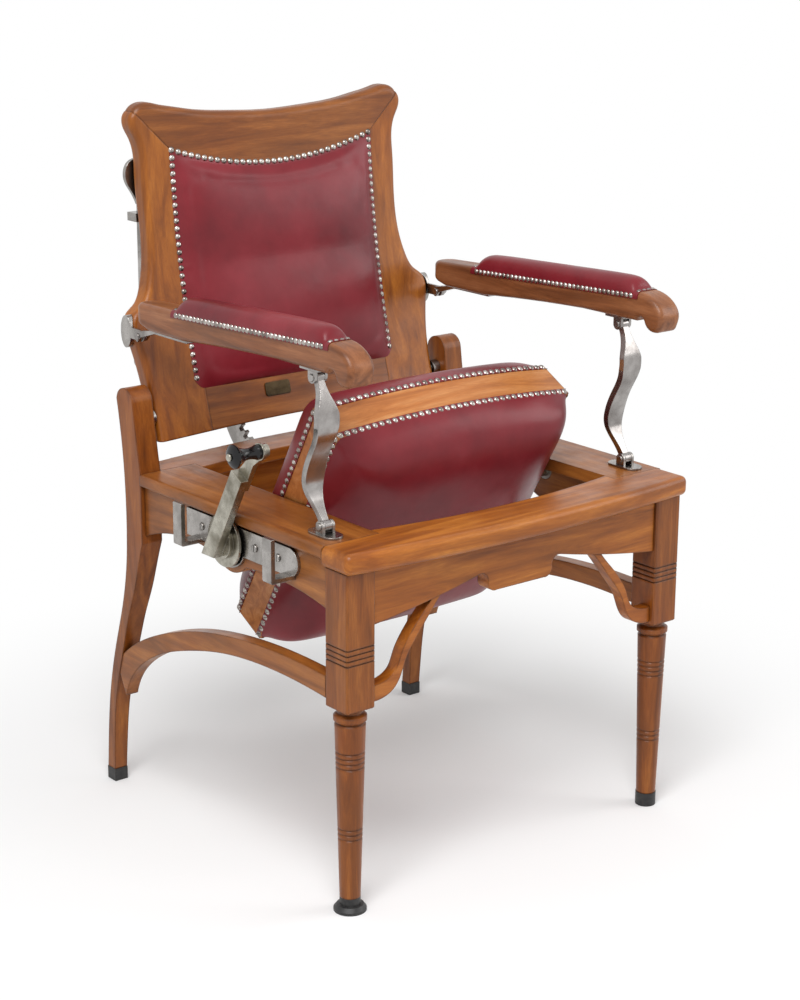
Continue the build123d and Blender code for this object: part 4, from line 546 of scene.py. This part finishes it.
def loaf_under(point):
    """The underside of an arm pad, on the arm's top and rounded edges."""
    low = arm_level(point.y) - arm_edge_round
    if point.z < low:
        return Vector((math.copysign(arm_half_wide, point.x), point.y, point.z))
    x = max(-arm_half_wide, min(arm_half_wide, point.x))
    round_in = max(0.0, abs(x) - (arm_half_wide - arm_edge_round))
    return Vector((x, point.y, low + math.sqrt(max(0.0, arm_edge_round ** 2 - round_in ** 2))))


for side_name, side in (("left", 1), ("right", -1)):
    loaf = leather_sheet("arm_leather_" + side_name, loaf_grid_columns, loaf_grid_rows, loaf_place)
    stuff(loaf, loaf_held, loaf_easing, loaf_pressure, loaf_most_swell)
    finish_leather(loaf, loaf_under, Matrix.Translation((side * arm_centre_x, 0, 0)),
                   "arm_" + side_name, "arm_pad_" + side_name)

# Nails. Domed heads of bright plated steel, driven edge to edge through the
# rims of the leather into the ring, the back's frame and the arms.
nail_finish, nail_tree, nail_shader, nail_place = new_finish("nail_heads")
nail_tree.links.new(ramp(nail_tree, noise(nail_tree, nail_place, 60), (0.35, shade(118, 110, 104)),
                         (0.65, shade(192, 186, 180))), nail_shader.inputs["Base Color"])
nail_shader.inputs["Metallic"].default_value = 1.0
nail_tree.links.new(rescale(nail_tree, noise(nail_tree, nail_place, 300), 0.3, 0.7, 0.16, 0.36),
                    nail_shader.inputs["Roughness"])
wear_finish(nail_finish, "seat_nails", "back_nails", "arm_nails_left", "arm_nails_right")


# Floor and light. A pale floor that fades to white away from the chair, an even
# sky, one large soft lamp high on the left and a weaker one on the right.
def looked_at(tree):
    """1 for what the camera sees, by itself, in a mirror or through glass, and 0 for light on its way."""
    rays = add_node(tree, "ShaderNodeLightPath").outputs
    mirrored = add_node(tree, "ShaderNodeMath", operation="MAXIMUM", in_0=rays["Is Glossy Ray"],
                        in_1=rays["Is Transmission Ray"]).outputs[0]
    return add_node(tree, "ShaderNodeMath", operation="MAXIMUM", in_0=rays["Is Camera Ray"],
                    in_1=mirrored).outputs[0]


bpy.ops.object.select_all(action="DESELECT")
bpy.ops.mesh.primitive_plane_add(size=60)
floor = bpy.context.object
floor.name = "floor"
fade_start, fade_end = 0.35, 1.1
floor_finish, floor_tree, floor_shader, floor_place = new_finish("pale_floor")
floor_shader.inputs["Base Color"].default_value = (0.90, 0.90, 0.90, 1)
floor_shader.inputs["Roughness"].default_value = 0.9
floor_shader.inputs["Specular IOR Level"].default_value = 0.0
away = add_node(floor_tree, "ShaderNodeVectorMath", operation="LENGTH", in_0=floor_place).outputs["Value"]
far = add_node(floor_tree, "ShaderNodeMapRange", interpolation_type="SMOOTHSTEP", in_0=away,
               in_1=fade_start, in_2=fade_end).outputs[0]
bare = add_node(floor_tree, "ShaderNodeMath", operation="MULTIPLY", in_0=far,
                in_1=looked_at(floor_tree)).outputs[0]
white = add_node(floor_tree, "ShaderNodeEmission", in_Strength=1.0).outputs[0]
mixed = add_node(floor_tree, "ShaderNodeMixShader", in_0=bare, in_1=floor_shader.outputs[0],
                 in_2=white).outputs[0]
floor_output = next(n for n in floor_tree.nodes if n.type == "OUTPUT_MATERIAL")
floor_tree.links.new(mixed, floor_output.inputs["Surface"])
floor.data.materials.append(floor_finish)

sky = bpy.data.worlds.new("sky")
bpy.context.scene.world = sky
sky.use_nodes = True
sky_tree = sky.node_tree
sky_light = next(n for n in sky_tree.nodes if n.type == "BACKGROUND")
sky_tree.links.new(rescale(sky_tree, looked_at(sky_tree), 0, 1, 0.55, 1.0), sky_light.inputs["Strength"])
sky_light.inputs["Color"].default_value = (1, 1, 1, 1)


def soft_lamp(name, place, target, size, power):
    """A square soft lamp that faces a point."""
    bpy.ops.object.light_add(type="AREA", location=place)
    lamp = bpy.context.object
    lamp.name = name
    lamp.data.energy = power
    lamp.data.size = size
    lamp.rotation_euler = (Vector(target) - Vector(place)).to_track_quat("-Z", "Y").to_euler()


soft_lamp("high_lamp", place=(-1.6, -1.4, 3.2), target=(0, 0, 0.5), size=1.8, power=95)
soft_lamp("side_lamp", place=(2.6, -1.8, 1.8), target=(0, 0, 0.5), size=1.8, power=30)

bpy.context.scene.view_settings.view_transform = "Standard"
